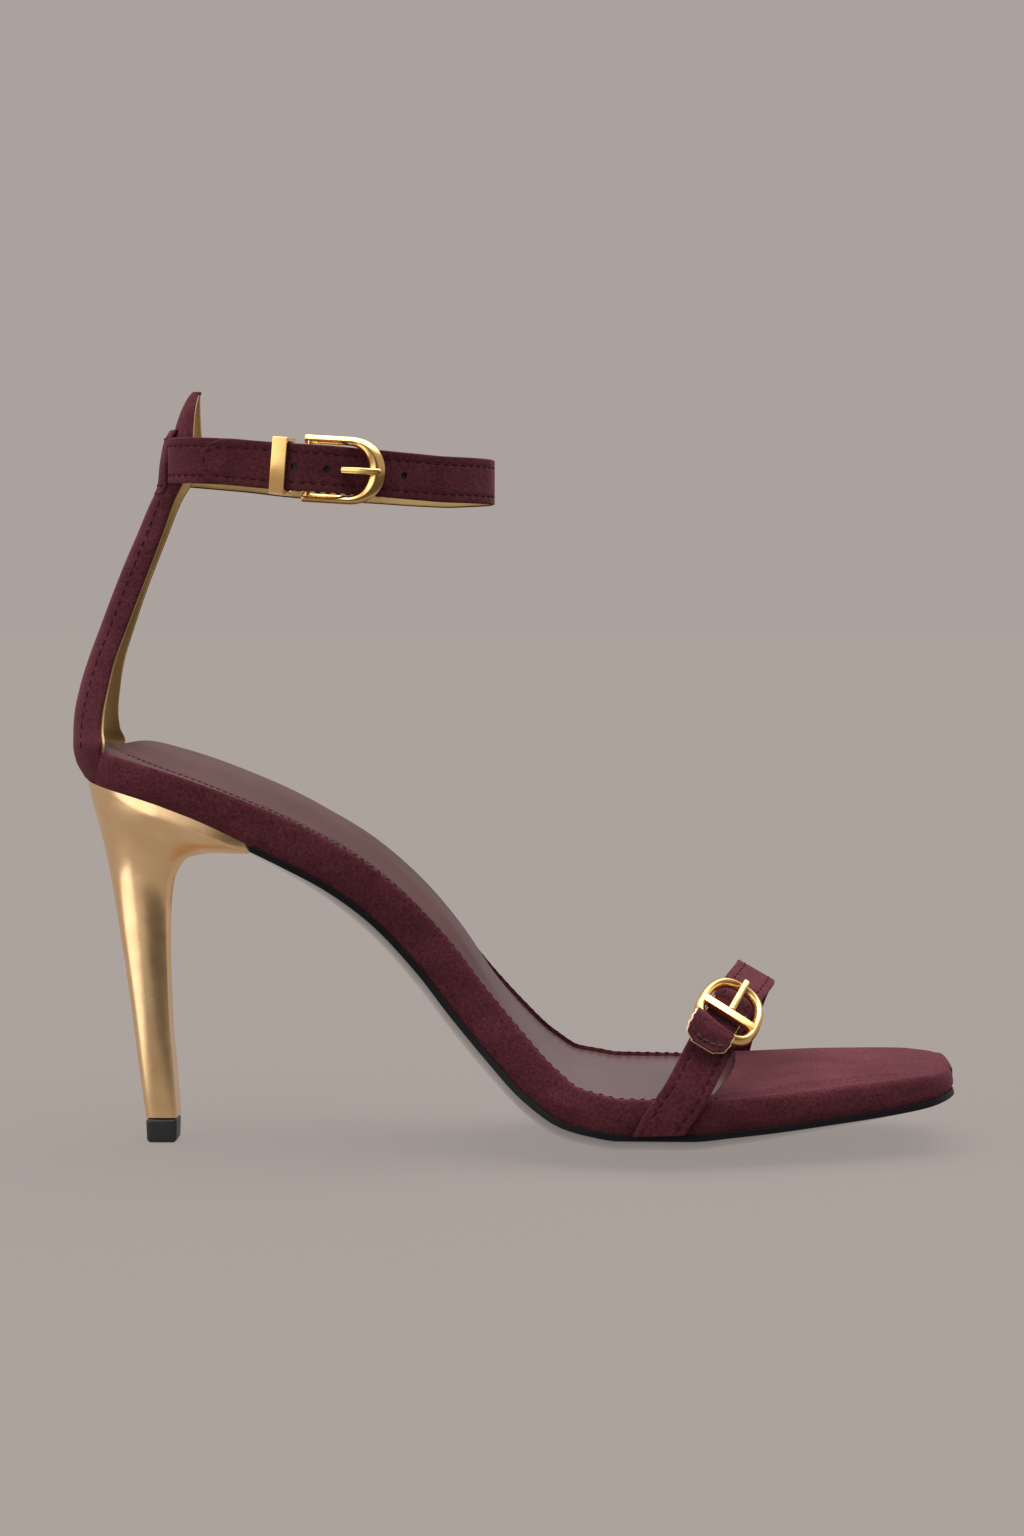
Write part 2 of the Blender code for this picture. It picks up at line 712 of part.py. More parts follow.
def rod_mesh(name, points, diameter):
    """A round rod with filled ends along a path."""
    curve = bpy.data.curves.new(name, "CURVE")
    curve.dimensions = "3D"
    curve.bevel_depth = diameter / 2
    curve.bevel_resolution = 3
    curve.use_fill_caps = True
    spline = curve.splines.new("POLY")
    spline.points.add(len(points) - 1)
    for slot, point in zip(spline.points, points):
        slot.co = (*point, 1.0)
    return baked(curve)


def baked(curve):
    """The curve's mesh with its caps welded on."""
    weld = 0.001 * MM
    holder = bpy.data.objects.new(curve.name, curve)
    bpy.context.scene.collection.objects.link(holder)
    seen = holder.evaluated_get(bpy.context.evaluated_depsgraph_get())
    mesh = bpy.data.meshes.new_from_object(seen)
    bpy.data.objects.remove(holder)
    build = bmesh.new()
    build.from_mesh(mesh)
    bmesh.ops.remove_doubles(build, verts=build.verts, dist=weld)
    bmesh.ops.recalc_face_normals(build, faces=build.faces)
    build.to_mesh(mesh)
    build.free()
    return mesh


def box_mesh(name, size, where):
    build = bmesh.new()
    bmesh.ops.create_cube(build, size=1.0, matrix=where @ Matrix.Diagonal((*size, 1.0)))
    mesh = bpy.data.meshes.new(name)
    build.to_mesh(mesh)
    build.free()
    return mesh


def rod_between(name, start, end, diameter, sides=16):
    """A cylinder between two points."""
    build = bmesh.new()
    line = end - start
    turn = line.to_track_quat("Z", "Y").to_matrix().to_4x4()
    where = Matrix.Translation((start + end) / 2) @ turn
    bmesh.ops.create_cone(build, cap_ends=True, segments=sides, radius1=diameter / 2,
                          radius2=diameter / 2, depth=line.length, matrix=where)
    mesh = bpy.data.meshes.new(name)
    build.to_mesh(mesh)
    build.free()
    return mesh


def soften(piece, width, segments=1, angle=38):
    step = piece.modifiers.new("Edges", "BEVEL")
    step.width = width
    step.segments = segments
    step.limit_method = "ANGLE"
    step.angle_limit = radians(angle)


def frame_axes(origin, forward, facing):
    """Placement with X along forward, Z along facing and Y across."""
    x_axis = forward.normalized()
    z_axis = (facing - x_axis * facing.dot(x_axis)).normalized()
    y_axis = z_axis.cross(x_axis)
    turn = Matrix((x_axis, y_axis, z_axis)).transposed().to_4x4()
    return Matrix.Translation(origin) @ turn


def half_round(length, height, start, steps, power=2.0):
    """Points of a rounded end, from its top round to its bottom."""
    points = []
    for k in range(steps + 1):
        angle = pi / 2 - pi * k / steps
        along = abs(cos(angle)) ** (2 / power)
        rise = abs(sin(angle)) ** (2 / power) * (1 if sin(angle) > 0 else -1)
        points.append((start + length * along, height * rise))
    return points


def ankle_buckle_place():
    bar, face = ankle_spot(BAR_AT, -1, BAR_LIFT)
    curve, curve_face = ankle_spot(CURVE_AT, -1, CURVE_LIFT)
    return frame_axes(bar, curve - bar, face + curve_face)


def ankle_frame_mesh():
    straight = FRAME_LENGTH * 0.52
    outer = half_round(FRAME_LENGTH - straight, FRAME_HALF_HEIGHT, straight, 16, 2.15)
    inside = FRAME_HALF_HEIGHT - FRAME_ARM
    inner = half_round(FRAME_LENGTH - FRAME_CURVE - straight, inside, straight, 16, 2.15)
    arm_top = [(-FRAME_ARM_END, FRAME_HALF_HEIGHT)]
    arm_low = [(-FRAME_ARM_END, -FRAME_HALF_HEIGHT), (-FRAME_ARM_END, -inside)]
    points = arm_top + outer + arm_low + list(reversed(inner)) + [(-FRAME_ARM_END, inside)]
    return plate_mesh("ankle_buckle_frame", [points], FRAME_DEPTH)


def prong_path(where, root, rows, seat, rest):
    """A prong's middle line, from its root beside the bar out to its seat on the frame."""
    local = [(root, 0.0, 0.1 * rest)]
    for reach, rise in rows:
        local.append((seat * reach, 0.0, rest * rise))
    return [where @ Vector(point) for point in local]


def ankle_prong_path(where):
    root = BAR_DIAMETER / 2 + PIN_GAP + RING_WALL / 2
    rest = FRAME_DEPTH / 2 + GAP + PRONG_DIAMETER / 2
    return prong_path(where, root, ANKLE_PRONG_ROWS, FRAME_LENGTH - FRAME_CURVE, rest)


def toe_prong_path(where):
    root = TOE_BAR_WIDTH / 2 + GAP
    rest = TOE_FRAME_BAND / 2 + GAP + TOE_PRONG_DIAMETER / 2
    return prong_path(where, root, TOE_PRONG_ROWS, TOE_FRAME_UP - TOE_FRAME_BAND, rest)


def toe_spot(along, lift):
    """Middle of the toe strap, its facing and the way it runs."""
    def base(at):
        x = TOE_BASE_X + curve_through(TOE_ROWS, TOE_COLUMNS, "length", at) * SOLE_LENGTH
        width = curve_through(TOE_ROWS, TOE_COLUMNS, "width", at)
        wall = abs(outline(along_at(x), -1 if width < 0 else 1).y)
        seat = wall + GAP + STRAP_THICKNESS / 2
        height = curve_through(TOE_ROWS, TOE_COLUMNS, "height", at)
        return Vector((x, width * seat, height * TOE_CREST_Z))

    step = 0.01
    run = (base(min(along + step, 1.0)) - base(max(along - step, 0.0))).normalized()
    across = Vector((cos(TOE_STRAP_DIP), 0.0, -sin(TOE_STRAP_DIP)))
    across = (across - run * across.dot(run)).normalized()
    face = across.cross(run)
    return base(along) + face * lift, face, run


def toe_strap_mesh(name, start, end, count, lift, thickness, round_tip=False):
    spots, faces, shares = [], [], []
    for k in range(count + 1):
        along = start + (end - start) * k / count
        spot, face, run = toe_spot(along, lift)
        spots.append(spot)
        faces.append(face)
        shares.append(1.0)
    if round_tip:
        for k, share in enumerate((0.35, 0.70, 0.90)):
            shares[k] = share
    return ribbon_mesh(name, spots, faces, TOE_STRAP_WIDTH, thickness, shares)


def toe_buckle_place():
    lift = STRAP_THICKNESS / 2 + GAP + TOE_END_THICKNESS + GAP + TOE_FRAME_BAND / 2
    origin, face, run = toe_spot(TOE_BAR_AT, lift)
    return frame_axes(origin, run, face)


def toe_frame_outline(inset):
    """The toe buckle's egg shape, blunter at its lower end."""
    half = TOE_FRAME_HALF - inset
    upper = half_round(TOE_FRAME_UP - inset, half, 0.0, 14, 2.5)
    lower = half_round(TOE_FRAME_DOWN - inset, half, 0.0, 12, 2.8)
    return upper + [(-x, y) for x, y in reversed(lower)][1:-1]


def toe_frame_mesh():
    outer = toe_frame_outline(0.0)
    inner = toe_frame_outline(TOE_FRAME_BAND)
    return plate_mesh("toe_buckle_frame", [outer, inner], TOE_FRAME_BAND)


def build_sole(parts, helpers, suede, sock_leather, black):
    """Platform, outsole and footbed, with the rebate that the stay stands in."""
    platform = place("platform", platform_mesh(), parts, suede)
    recess = place_helper(
        "sock_recess", sock_mesh("sock_recess", 1.4 * GAP, RECESS_OPENING, RECESS_START), helpers)
    rebate = place_helper("stay_rebate", cradle_mesh(
        "stay_rebate", STAY_ROWS[:REBATE_ROWS], REBATE_OPENING, -STAY_WALL - GAP, GAP), helpers)
    combine(platform, recess, "DIFFERENCE")
    combine(platform, rebate, "DIFFERENCE")
    place("outsole", outsole_mesh(), parts, black)
    sock = place("footbed", sock_mesh("footbed", 0.0, 0.0, SOCK_START), parts, sock_leather)
    combine(sock, rebate, "DIFFERENCE")


def build_heel(parts, helpers, heel_gold, rubber):
    heel = place("heel", heel_mesh(), parts, heel_gold)
    above = place_helper("space_above", sole_space("space_above", -GAP, SPACE_ABOVE), helpers)
    combine(heel, above, "DIFFERENCE")
    middle = Matrix.Translation((0.0, 0.0, TIP_HEIGHT / 2))
    block = box_mesh("top_piece", (TIP_LENGTH, TIP_WIDTH, TIP_HEIGHT), middle)
    soften(place("top_piece", block, parts, rubber), TIP_ROUND, segments=3)


def build_upper(parts, helpers, suede, below):
    """The stay with its back loop and the ankle strap joined to it."""
    stay = place("ankle_upper", cradle_mesh("ankle_upper", STAY_ROWS, 0.0, -STAY_WALL), parts, suede)
    combine(stay, below, "DIFFERENCE")
    strap = place_helper("ankle_strap", strap_mesh(), helpers)
    combine(stay, strap, "UNION")
    loop = place_helper("back_loop", cradle_mesh("back_loop", LOOP_ROWS, 0.0, -LOOP_WALL), helpers)
    combine(stay, loop, "UNION")
    for number, turn in enumerate(HOLE_TURNS):
        spot, face = ankle_spot(turn, -1, free_end_lift(turn))
        name = f"hole_{number}"
        hole = rod_between(name, spot - face * STRAP_THICKNESS, spot + face * STRAP_THICKNESS,
                           HOLE_DIAMETER, 10)
        combine(stay, place_helper(name, hole, helpers), "DIFFERENCE")
    return stay


def build_ankle_buckle(parts, helpers, buckle_gold, stay):
    """The open frame with its bar, the prong round the bar, and their seats in the strap."""
    here = ankle_buckle_place()
    bar_half = Vector((0.0, FRAME_HALF_HEIGHT - FRAME_ARM / 2, 0.0))
    eye_half = Vector((0.0, STRAP_WIDTH / 2, 0.0))
    ring_half = Vector((0.0, PRONG_DIAMETER * 0.65, 0.0))
    bore = BAR_DIAMETER + 2 * PIN_GAP

    def on_bar(name, half, diameter):
        return place_helper(name, rod_between(name, here @ -half, here @ half, diameter), helpers)

    combine(stay, on_bar("bar_eye", eye_half, bore + 2 * EYE_WALL), "UNION")
    eye_bore = on_bar("bar_bore", eye_half * 1.3, bore)
    combine(stay, eye_bore, "DIFFERENCE")

    frame = place("ankle_buckle_frame", ankle_frame_mesh(), parts, buckle_gold)
    frame.data.transform(here)
    soften(frame, FRAME_BEVEL)
    combine(frame, on_bar("ankle_bar", bar_half, BAR_DIAMETER), "UNION")

    path = ankle_prong_path(here)
    prong = place("ankle_prong", rod_mesh("ankle_prong", path, PRONG_DIAMETER), parts, buckle_gold)
    combine(prong, on_bar("prong_ring", ring_half, bore + 2 * RING_WALL), "UNION")
    combine(prong, eye_bore, "DIFFERENCE")

    slot_at = here @ Matrix.Translation((SLOT_AHEAD, 0.0, SLOT_RAISED))
    slot_size = (SLOT_LENGTH, PRONG_DIAMETER * 1.35 + 2 * GAP, SLOT_DEPTH)
    slot = place_helper("prong_slot", box_mesh("prong_slot", slot_size, slot_at), helpers)
    way = rod_mesh("prong_hole", path, PRONG_DIAMETER + 2 * GAP)
    combine(stay, slot, "DIFFERENCE")
    combine(stay, place_helper("prong_hole", way, helpers), "DIFFERENCE")


def build_keeper(parts, helpers, buckle_gold):
    """The flat band round the strap and its free end."""
    low = -STRAP_THICKNESS / 2 - GAP - KEEPER_WALL
    high = free_end_lift(KEEPER_AT + KEEPER_REACH) + STRAP_THICKNESS / 2 + GAP + KEEPER_WALL
    middle, face = ankle_spot(KEEPER_AT, -1, (low + high) / 2)
    ahead, ahead_face = ankle_spot(KEEPER_AT + KEEPER_REACH, -1, (low + high) / 2)
    here = frame_axes(middle, ahead - middle, face)
    size = (KEEPER_WIDTH, KEEPER_HEIGHT, high - low)
    opening = (KEEPER_WIDTH * 3, KEEPER_HEIGHT - 2 * KEEPER_WALL, high - low - 2 * KEEPER_WALL)
    keeper = place("ankle_keeper", box_mesh("ankle_keeper", size, here), parts, buckle_gold)
    soften(keeper, KEEPER_BEVEL)
    hole = place_helper("keeper_hole", box_mesh("keeper_hole", opening, here), helpers)
    combine(keeper, hole, "DIFFERENCE")


def build_toe_strap(parts, suede, below):
    """The strap over the toes and the loose end that lies on it under the buckle."""
    whole = toe_strap_mesh("toe_strap", 0.0, 1.0, 32, 0.0, STRAP_THICKNESS)
    combine(place("toe_strap", whole, parts, suede), below, "DIFFERENCE")
    lift = STRAP_THICKNESS / 2 + GAP + TOE_END_THICKNESS / 2
    low, high = TOE_BAR_AT - TOE_END_BELOW, TOE_BAR_AT + TOE_END_ABOVE
    end = toe_strap_mesh("toe_strap_end", low, high, 12, lift, TOE_END_THICKNESS, True)
    place("toe_strap_end", end, parts, suede)


def build_toe_buckle(parts, helpers, buckle_gold):
    here = toe_buckle_place()
    frame = place("toe_buckle_frame", toe_frame_mesh(), parts, buckle_gold)
    frame.data.transform(here)
    soften(frame, FRAME_BEVEL)
    size = (TOE_BAR_WIDTH, 2 * TOE_FRAME_HALF - TOE_FRAME_BAND, TOE_FRAME_BAND * 0.8)
    bar = place_helper("toe_bar", box_mesh("toe_bar", size, here), helpers)
    combine(frame, bar, "UNION")
    prong = rod_mesh("toe_prong", toe_prong_path(here), TOE_PRONG_DIAMETER)
    place("toe_prong", prong, parts, buckle_gold)


def build():
    remove_scene_objects()
    parts = new_collection("ankle_strap_sandal")
    helpers = new_collection("cutters")
    suede = finish("suede", (0.095, 0.022, 0.034), 0.95)
    sock_leather = finish("sock_leather", (0.13, 0.045, 0.055), 0.45)
    black = finish("outsole_black", (0.012, 0.012, 0.013), 0.25)
    rubber = finish("tip_rubber", (0.012, 0.012, 0.012), 0.55)
    heel_gold = finish("heel_gold", (0.83, 0.55, 0.27), 0.28, 1.0)
    buckle_gold = finish("buckle_gold", (0.83, 0.55, 0.20), 0.18, 1.0)

    below = place_helper("space_below", sole_space("space_below", -SPACE_BELOW, 0.0), helpers)
    build_sole(parts, helpers, suede, sock_leather, black)
    build_heel(parts, helpers, heel_gold, rubber)
    stay = build_upper(parts, helpers, suede, below)
    build_ankle_buckle(parts, helpers, buckle_gold, stay)
    build_keeper(parts, helpers, buckle_gold)
    build_toe_strap(parts, suede, below)
    build_toe_buckle(parts, helpers, buckle_gold)


build()
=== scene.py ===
"""Ankle strap sandal: covering, lining, stitching, heel and buckles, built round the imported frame.

Frame: +X to the toe, +Y to the medial side, +Z up, origin under the heel tip.
"""

from math import cos, pi, radians, sin

import bmesh
import bpy
import numpy as np
from mathutils import Matrix, Vector


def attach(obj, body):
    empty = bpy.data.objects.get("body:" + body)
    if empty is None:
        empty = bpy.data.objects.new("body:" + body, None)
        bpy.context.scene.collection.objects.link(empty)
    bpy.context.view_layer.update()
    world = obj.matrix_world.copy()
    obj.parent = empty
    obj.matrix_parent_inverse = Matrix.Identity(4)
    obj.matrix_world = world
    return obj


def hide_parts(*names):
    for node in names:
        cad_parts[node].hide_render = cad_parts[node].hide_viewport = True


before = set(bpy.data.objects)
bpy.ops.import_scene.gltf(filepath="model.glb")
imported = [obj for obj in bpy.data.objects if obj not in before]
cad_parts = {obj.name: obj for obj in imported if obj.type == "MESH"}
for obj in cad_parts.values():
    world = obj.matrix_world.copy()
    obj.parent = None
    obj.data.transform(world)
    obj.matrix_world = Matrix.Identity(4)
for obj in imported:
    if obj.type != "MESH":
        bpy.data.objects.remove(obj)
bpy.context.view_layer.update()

MM = 0.001

# Sole, in the frame's sizes, but for a longer sock at the seat and, in the table below, a smaller
# roll behind the ball and a slightly taller tip
SOLE_LENGTH = 220.5 * MM
SEAT_OVERHANG = 21.9 * MM
HEEL_RISE = 91.8 * MM
BALL_WIDTH = 76.5 * MM
SEAT_ROUND = 24.0 * MM
TOE_ROUND = 7.0 * MM
TOE_FLAT = 0.62
TREAD_FLAT = 0.14
BOTTOM_CROWN = 7.3 * MM
OUTSOLE_THICKNESS = 1.4 * MM
OUTSOLE_EDGE_INSET = 0.5 * MM
GAP = 0.3 * MM
RAND_HEIGHT = 9.6 * MM
FEATHER_INSET = 0.9 * MM
RAND_ROLL = 1.2 * MM
TOE_TOP_CROWN = 0.9 * MM
RIM_WIDTH = 1.3 * MM
SOCK_THICKNESS = 2.2 * MM
SOCK_RECESS = 1.2 * MM
SOCK_PAD = 4.4 * MM
SOCK_START = 0.006
SOCK_END = 0.742
SOCK_END_SLANT = 0.022
SOCK_END_BOW = 2.0 * MM
SOCK_CORNER = 3.2 * MM
SOCK_WELT = 1.5 * MM
SEAT_WELT = 3.2 * MM
SOCK_ROUND = 0.45 * MM
PAD_LOW = 0.35
PAD_RUN = 9.0 * MM
PAD_PUFF = 0.25 * MM
PAD_GROOVE = 0.30 * MM
OUTSOLE_ARRIS = 0.18 * MM

# Heel
TIP_LENGTH = 7.9 * MM
TIP_WIDTH = 8.6 * MM
TIP_HEIGHT = 6.3 * MM
HEEL_TOP_HALF = 21.2 * MM
LIP_REACH = 25.2 * MM
BREAST_HOLLOW = 2.4 * MM
HEEL_AROUND = 144
# The angle of the crisp edge between the heel's sides and its breast
HEEL_ARRIS = 2 * pi * 17.5 / HEEL_AROUND

# Heel stay and back loop
STAY_BASE_DROP = 5.8 * MM
STAY_BASE_Z = HEEL_RISE - STAY_BASE_DROP
STAY_HEIGHT = 102.3 * MM
STAY_BACK = 21.9 * MM
STAY_SUEDE = 1.25 * MM
STAY_WALL = 2.0 * MM
LOOP_SUEDE = 1.1 * MM

# Ankle strap
STRAP_WIDTH = 11.2 * MM
STRAP_THICKNESS = 1.4 * MM
STRAP_SUEDE = 0.85 * MM
ANKLE_LENGTH = 81.2 * MM
ANKLE_HALF_WIDTH = 25.7 * MM
ANKLE_BACK_X = 2.0 * MM
ANKLE_BACK_RISE = 84.9 * MM
ANKLE_BACK_Z = STAY_BASE_Z + ANKLE_BACK_RISE
ANKLE_DROP = 5.2 * MM
HOLE_DIAMETER = 1.7 * MM
BAR_AT = 0.485
CURVE_AT = 0.625
KEEPER_AT = 0.432
KEEPER_REACH = 0.026
TIP_AT = 0.245
TIP_ROUNDING = 0.075
BAR_LAP = 0.012
BAR_DIAMETER = 1.6 * MM
BAR_LIFT = 0.9 * MM
CURVE_LIFT = 2.9 * MM

# Ankle buckle, prong and keeper
FRAME_LENGTH = 18.5 * MM
FRAME_HALF_HEIGHT = 8.1 * MM
FRAME_ARM = 2.1 * MM
FRAME_CURVE = 3.9 * MM
FRAME_ARM_END = 1.2 * MM
FRAME_DEPTH = 2.0 * MM
PRONG_DIAMETER = 1.8 * MM
KEEPER_WIDTH = 3.7 * MM
KEEPER_HEIGHT = 13.7 * MM
KEEPER_WALL = 1.0 * MM

# Toe strap, its loose end and its buckle, whose frame is about 1 mm larger than the solid
TOE_STRAP_WIDTH = 10.8 * MM
TOE_STRAP_DIP = radians(30)
TOE_BASE_X = 124.3 * MM
TOE_CREST_Z = 43.0 * MM
TOE_END_THICKNESS = 1.2 * MM
TOE_BAR_AT = 0.335
TOE_END_BELOW = 0.080
TOE_END_ABOVE = 0.035
TOE_FRAME_HALF = 8.3 * MM
TOE_FRAME_UP = 10.9 * MM
TOE_FRAME_DOWN = 7.3 * MM
TOE_FRAME_BAND = 2.25 * MM
TOE_BAR_WIDTH = 2.1 * MM
TOE_PRONG_DIAMETER = 1.5 * MM

# Thread
STITCH_PITCH = 2.6 * MM
STITCH_LENGTH = 1.9 * MM
STITCH_WIDTH = 0.42 * MM
STITCH_INSET = 2.0 * MM
STITCH_SUNK = 0.10 * MM
SEAM_GROOVE = 0.16 * MM
LINING_INSET = 0.5 * MM
STRAP_STITCH = 0.78
STAY_STITCH = 0.85
LINING_STITCH = 0.8

# Angle in degrees past which an edge of the buckles stays crisp
METAL_SMOOTH = 30.0

# The sole's sections, in shares of the sizes above
SOLE_COLUMNS = ("along", "rise", "belly", "rand", "half", "swing", "roll", "pad", "sink")
SOLE_ROWS = (
    (0.000, 1.000, 0.07, 0.85, 0.300, 0.000, 0.6, 0.10, 0.2),
    (0.080, 0.930, 0.25, 0.84, 0.300, 0.000, 0.6, 0.95, 0.2),
    (0.140, 0.874, 0.32, 0.87, 0.302, 0.000, 0.6, 1.00, 0.2),
    (0.200, 0.806, 0.37, 0.95, 0.302, -0.002, 0.6, 0.95, 0.2),
    (0.250, 0.742, 0.45, 1.00, 0.293, -0.008, 0.6, 0.85, 0.3),
    (0.300, 0.664, 0.62, 1.00, 0.281, -0.012, 0.6, 0.75, 0.3),
    (0.350, 0.563, 0.78, 0.98, 0.273, -0.013, 0.6, 0.65, 0.4),
    (0.400, 0.428, 0.89, 1.00, 0.276, -0.012, 0.6, 0.50, 0.6),
    (0.440, 0.302, 0.96, 1.00, 0.299, -0.013, 0.6, 0.25, 0.8),
    (0.480, 0.188, 1.00, 1.00, 0.340, -0.011, 0.6, 0.05, 1.0),
    (0.520, 0.090, 1.00, 0.99, 0.401, -0.005, 0.6, 0.00, 1.0),
    (0.560, 0.028, 1.00, 0.94, 0.455, 0.003, 0.6, 0.00, 1.0),
    (0.590, 0.010, 1.00, 0.93, 0.482, 0.008, 0.65, 0.00, 1.0),
    (0.620, 0.000, 1.00, 0.90, 0.494, 0.010, 0.7, 0.00, 1.0),
    (0.700, 0.000, 1.00, 0.87, 0.499, 0.013, 1.0, 0.00, 1.0),
    (0.740, 0.009, 0.96, 0.86, 0.483, 0.022, 1.5, 0.00, 0.9),
    (0.790, 0.027, 0.84, 0.86, 0.458, 0.034, 2.2, 0.00, 0.8),
    (0.850, 0.053, 0.67, 0.85, 0.414, 0.046, 2.6, 0.00, 0.8),
    (0.910, 0.081, 0.48, 0.80, 0.361, 0.056, 2.4, 0.00, 0.8),
    (0.960, 0.112, 0.25, 0.71, 0.305, 0.070, 1.6, 0.00, 0.8),
    (1.000, 0.154, 0.00, 0.53, 0.247, 0.082, 1.0, 0.00, 0.8),
)

# The rand's face from the feather edge up
RAND_COLUMNS = ("height", "feather", "roll")
RAND_ROWS = (
    (0.00, 1.0, 0.00),
    (0.20, 0.2, 0.00),
    (0.50, 0.0, 0.00),
    (0.76, 0.0, 0.12),
    (0.93, 0.0, 0.45),
    (1.00, 0.0, 1.00),
)

# The heel's sections from the tip up, in shares of the way to the seat's size, a little fuller
# in the shaft than the frame's
HEEL_COLUMNS = ("row", "back", "back_rise", "front", "front_rise", "side", "back_square", "front_square")
HEEL_ROWS = (
    (0, 0.010, 0.000, 0.000, 0.000, 0.00, 4.2, 6.0),
    (1, 0.112, 0.144, -0.040, 0.140, 0.00, 3.2, 4.2),
    (2, 0.186, 0.270, -0.082, 0.265, 0.01, 2.8, 3.2),
    (3, 0.276, 0.415, -0.102, 0.393, 0.03, 2.6, 2.9),
    (4, 0.372, 0.550, -0.112, 0.510, 0.06, 2.45, 2.8),
    (5, 0.446, 0.650, -0.110, 0.597, 0.11, 2.35, 2.8),
    (6, 0.523, 0.746, -0.086, 0.684, 0.21, 2.3, 2.8),
    (7, 0.600, 0.826, -0.004, 0.738, 0.37, 2.25, 2.9),
    (8, 0.680, 0.893, 0.195, 0.775, 0.57, 2.2, 3.2),
    (9, 0.740, 0.945, 0.530, 0.792, 0.79, 2.2, 4.4),
    (10, 0.795, 0.998, 0.940, 0.794, 0.98, 2.1, 6.0),
    (11, 0.830, 1.060, 1.040, 0.870, 1.06, 2.1, 6.0),
)

# The stay's sections: height in shares of STAY_HEIGHT, the rest in shares of STAY_BACK
STAY_COLUMNS = ("height", "back", "reach", "spread", "wrap")
STAY_ROWS = (
    (0.000, -0.70, 0.95, 0.80, 46),
    (0.065, -0.88, 1.05, 0.92, 48),
    (0.102, -0.97, 1.09, 0.98, 50),
    (0.138, -1.00, 1.09, 0.98, 52),
    (0.175, -1.00, 0.84, 0.75, 58),
    (0.212, -0.99, 0.64, 0.60, 67),
    (0.285, -0.92, 0.48, 0.465, 78),
    (0.359, -0.81, 0.375, 0.365, 87),
    (0.433, -0.68, 0.35, 0.29, 90),
    (0.506, -0.55, 0.345, 0.245, 90),
    (0.580, -0.41, 0.34, 0.23, 90),
    (0.653, -0.26, 0.325, 0.245, 90),
    (0.738, -0.085, 0.305, 0.30, 90),
    (0.790, 0.050, 0.30, 0.37, 90),
    (0.840, 0.120, 0.30, 0.41, 88),
    (0.885, 0.165, 0.29, 0.40, 86),
    (0.915, 0.195, 0.26, 0.34, 86),
    (0.945, 0.240, 0.215, 0.27, 86),
    (0.970, 0.290, 0.170, 0.19, 86),
    (0.990, 0.345, 0.125, 0.11, 86),
    (1.000, 0.385, 0.105, 0.06, 86),
)
LOOP_ROWS = (
    (0.752, -0.060, 0.33, 0.34, 56),
    (0.770, -0.020, 0.36, 0.40, 52),
    (0.825, 0.010, 0.38, 0.46, 46),
    (0.880, 0.062, 0.38, 0.46, 44),
    (0.905, 0.125, 0.34, 0.40, 46),
)

# The ankle strap's way round, from the back to the front
ANKLE_COLUMNS = ("turn", "length", "width", "drop")
ANKLE_ROWS = (
    (0.00, 0.000, 0.00, 0.00),
    (0.10, 0.030, 0.32, 0.02),
    (0.20, 0.104, 0.60, 0.08),
    (0.30, 0.215, 0.805, 0.20),
    (0.40, 0.350, 0.94, 0.42),
    (0.50, 0.490, 1.00, 0.60),
    (0.60, 0.632, 0.97, 0.74),
    (0.70, 0.762, 0.835, 0.90),
    (0.80, 0.873, 0.615, 1.00),
    (0.90, 0.958, 0.345, 1.00),
    (0.96, 0.991, 0.155, 1.00),
    (1.00, 1.000, 0.00, 1.00),
)

# The free end's height over the layer below it, in strap thicknesses: a little more than in the
# frame near its tip and past the bar
LIFT_COLUMNS = ("turn", "lift")
LIFT_ROWS = (
    (0.00, 1.60),
    (0.28, 1.50),
    (0.33, 1.34),
    (0.38, 1.55),
    (0.432, 2.25),
    (0.485, 3.05),
    (0.508, 2.95),
    (0.530, 2.60),
    (0.548, 1.90),
    (0.566, 0.70),
    (0.590, 0.00),
    (1.00, 0.00),
)
HOLE_TURNS = (0.462, 0.525, 0.687)

# The toe strap's direction from edge to edge, and its middle line
TOE_ACROSS = np.array([cos(TOE_STRAP_DIP), 0.0, -sin(TOE_STRAP_DIP)])
TOE_COLUMNS = ("along", "length", "width", "height")
TOE_ROWS = (
    (0.00, -0.010, -1.000, 0.10),
    (0.08, 0.004, -1.000, 0.25),
    (0.17, 0.026, -0.998, 0.42),
    (0.26, 0.051, -0.885, 0.64),
    (0.36, 0.077, -0.650, 0.845),
    (0.45, 0.100, -0.330, 0.965),
    (0.53, 0.113, 0.000, 1.000),
    (0.62, 0.116, 0.330, 0.960),
    (0.71, 0.111, 0.650, 0.835),
    (0.80, 0.103, 0.904, 0.640),
    (0.88, 0.094, 1.006, 0.43),
    (0.95, 0.085, 1.006, 0.25),
    (1.00, 0.079, 1.006, 0.10),
)

# A prong's line past its root, in shares of its reach to the frame and of its rest's height
ANKLE_PRONG_ROWS = ((0.32, 0.15), (0.60, 0.50), (0.85, 0.92), (1.00, 1.00), (1.15, 1.00), (1.22, 0.95))
TOE_PRONG_ROWS = ((0.50, 0.55), (1.00, 1.00), (1.20, 1.00))


# Curves and the sole's form

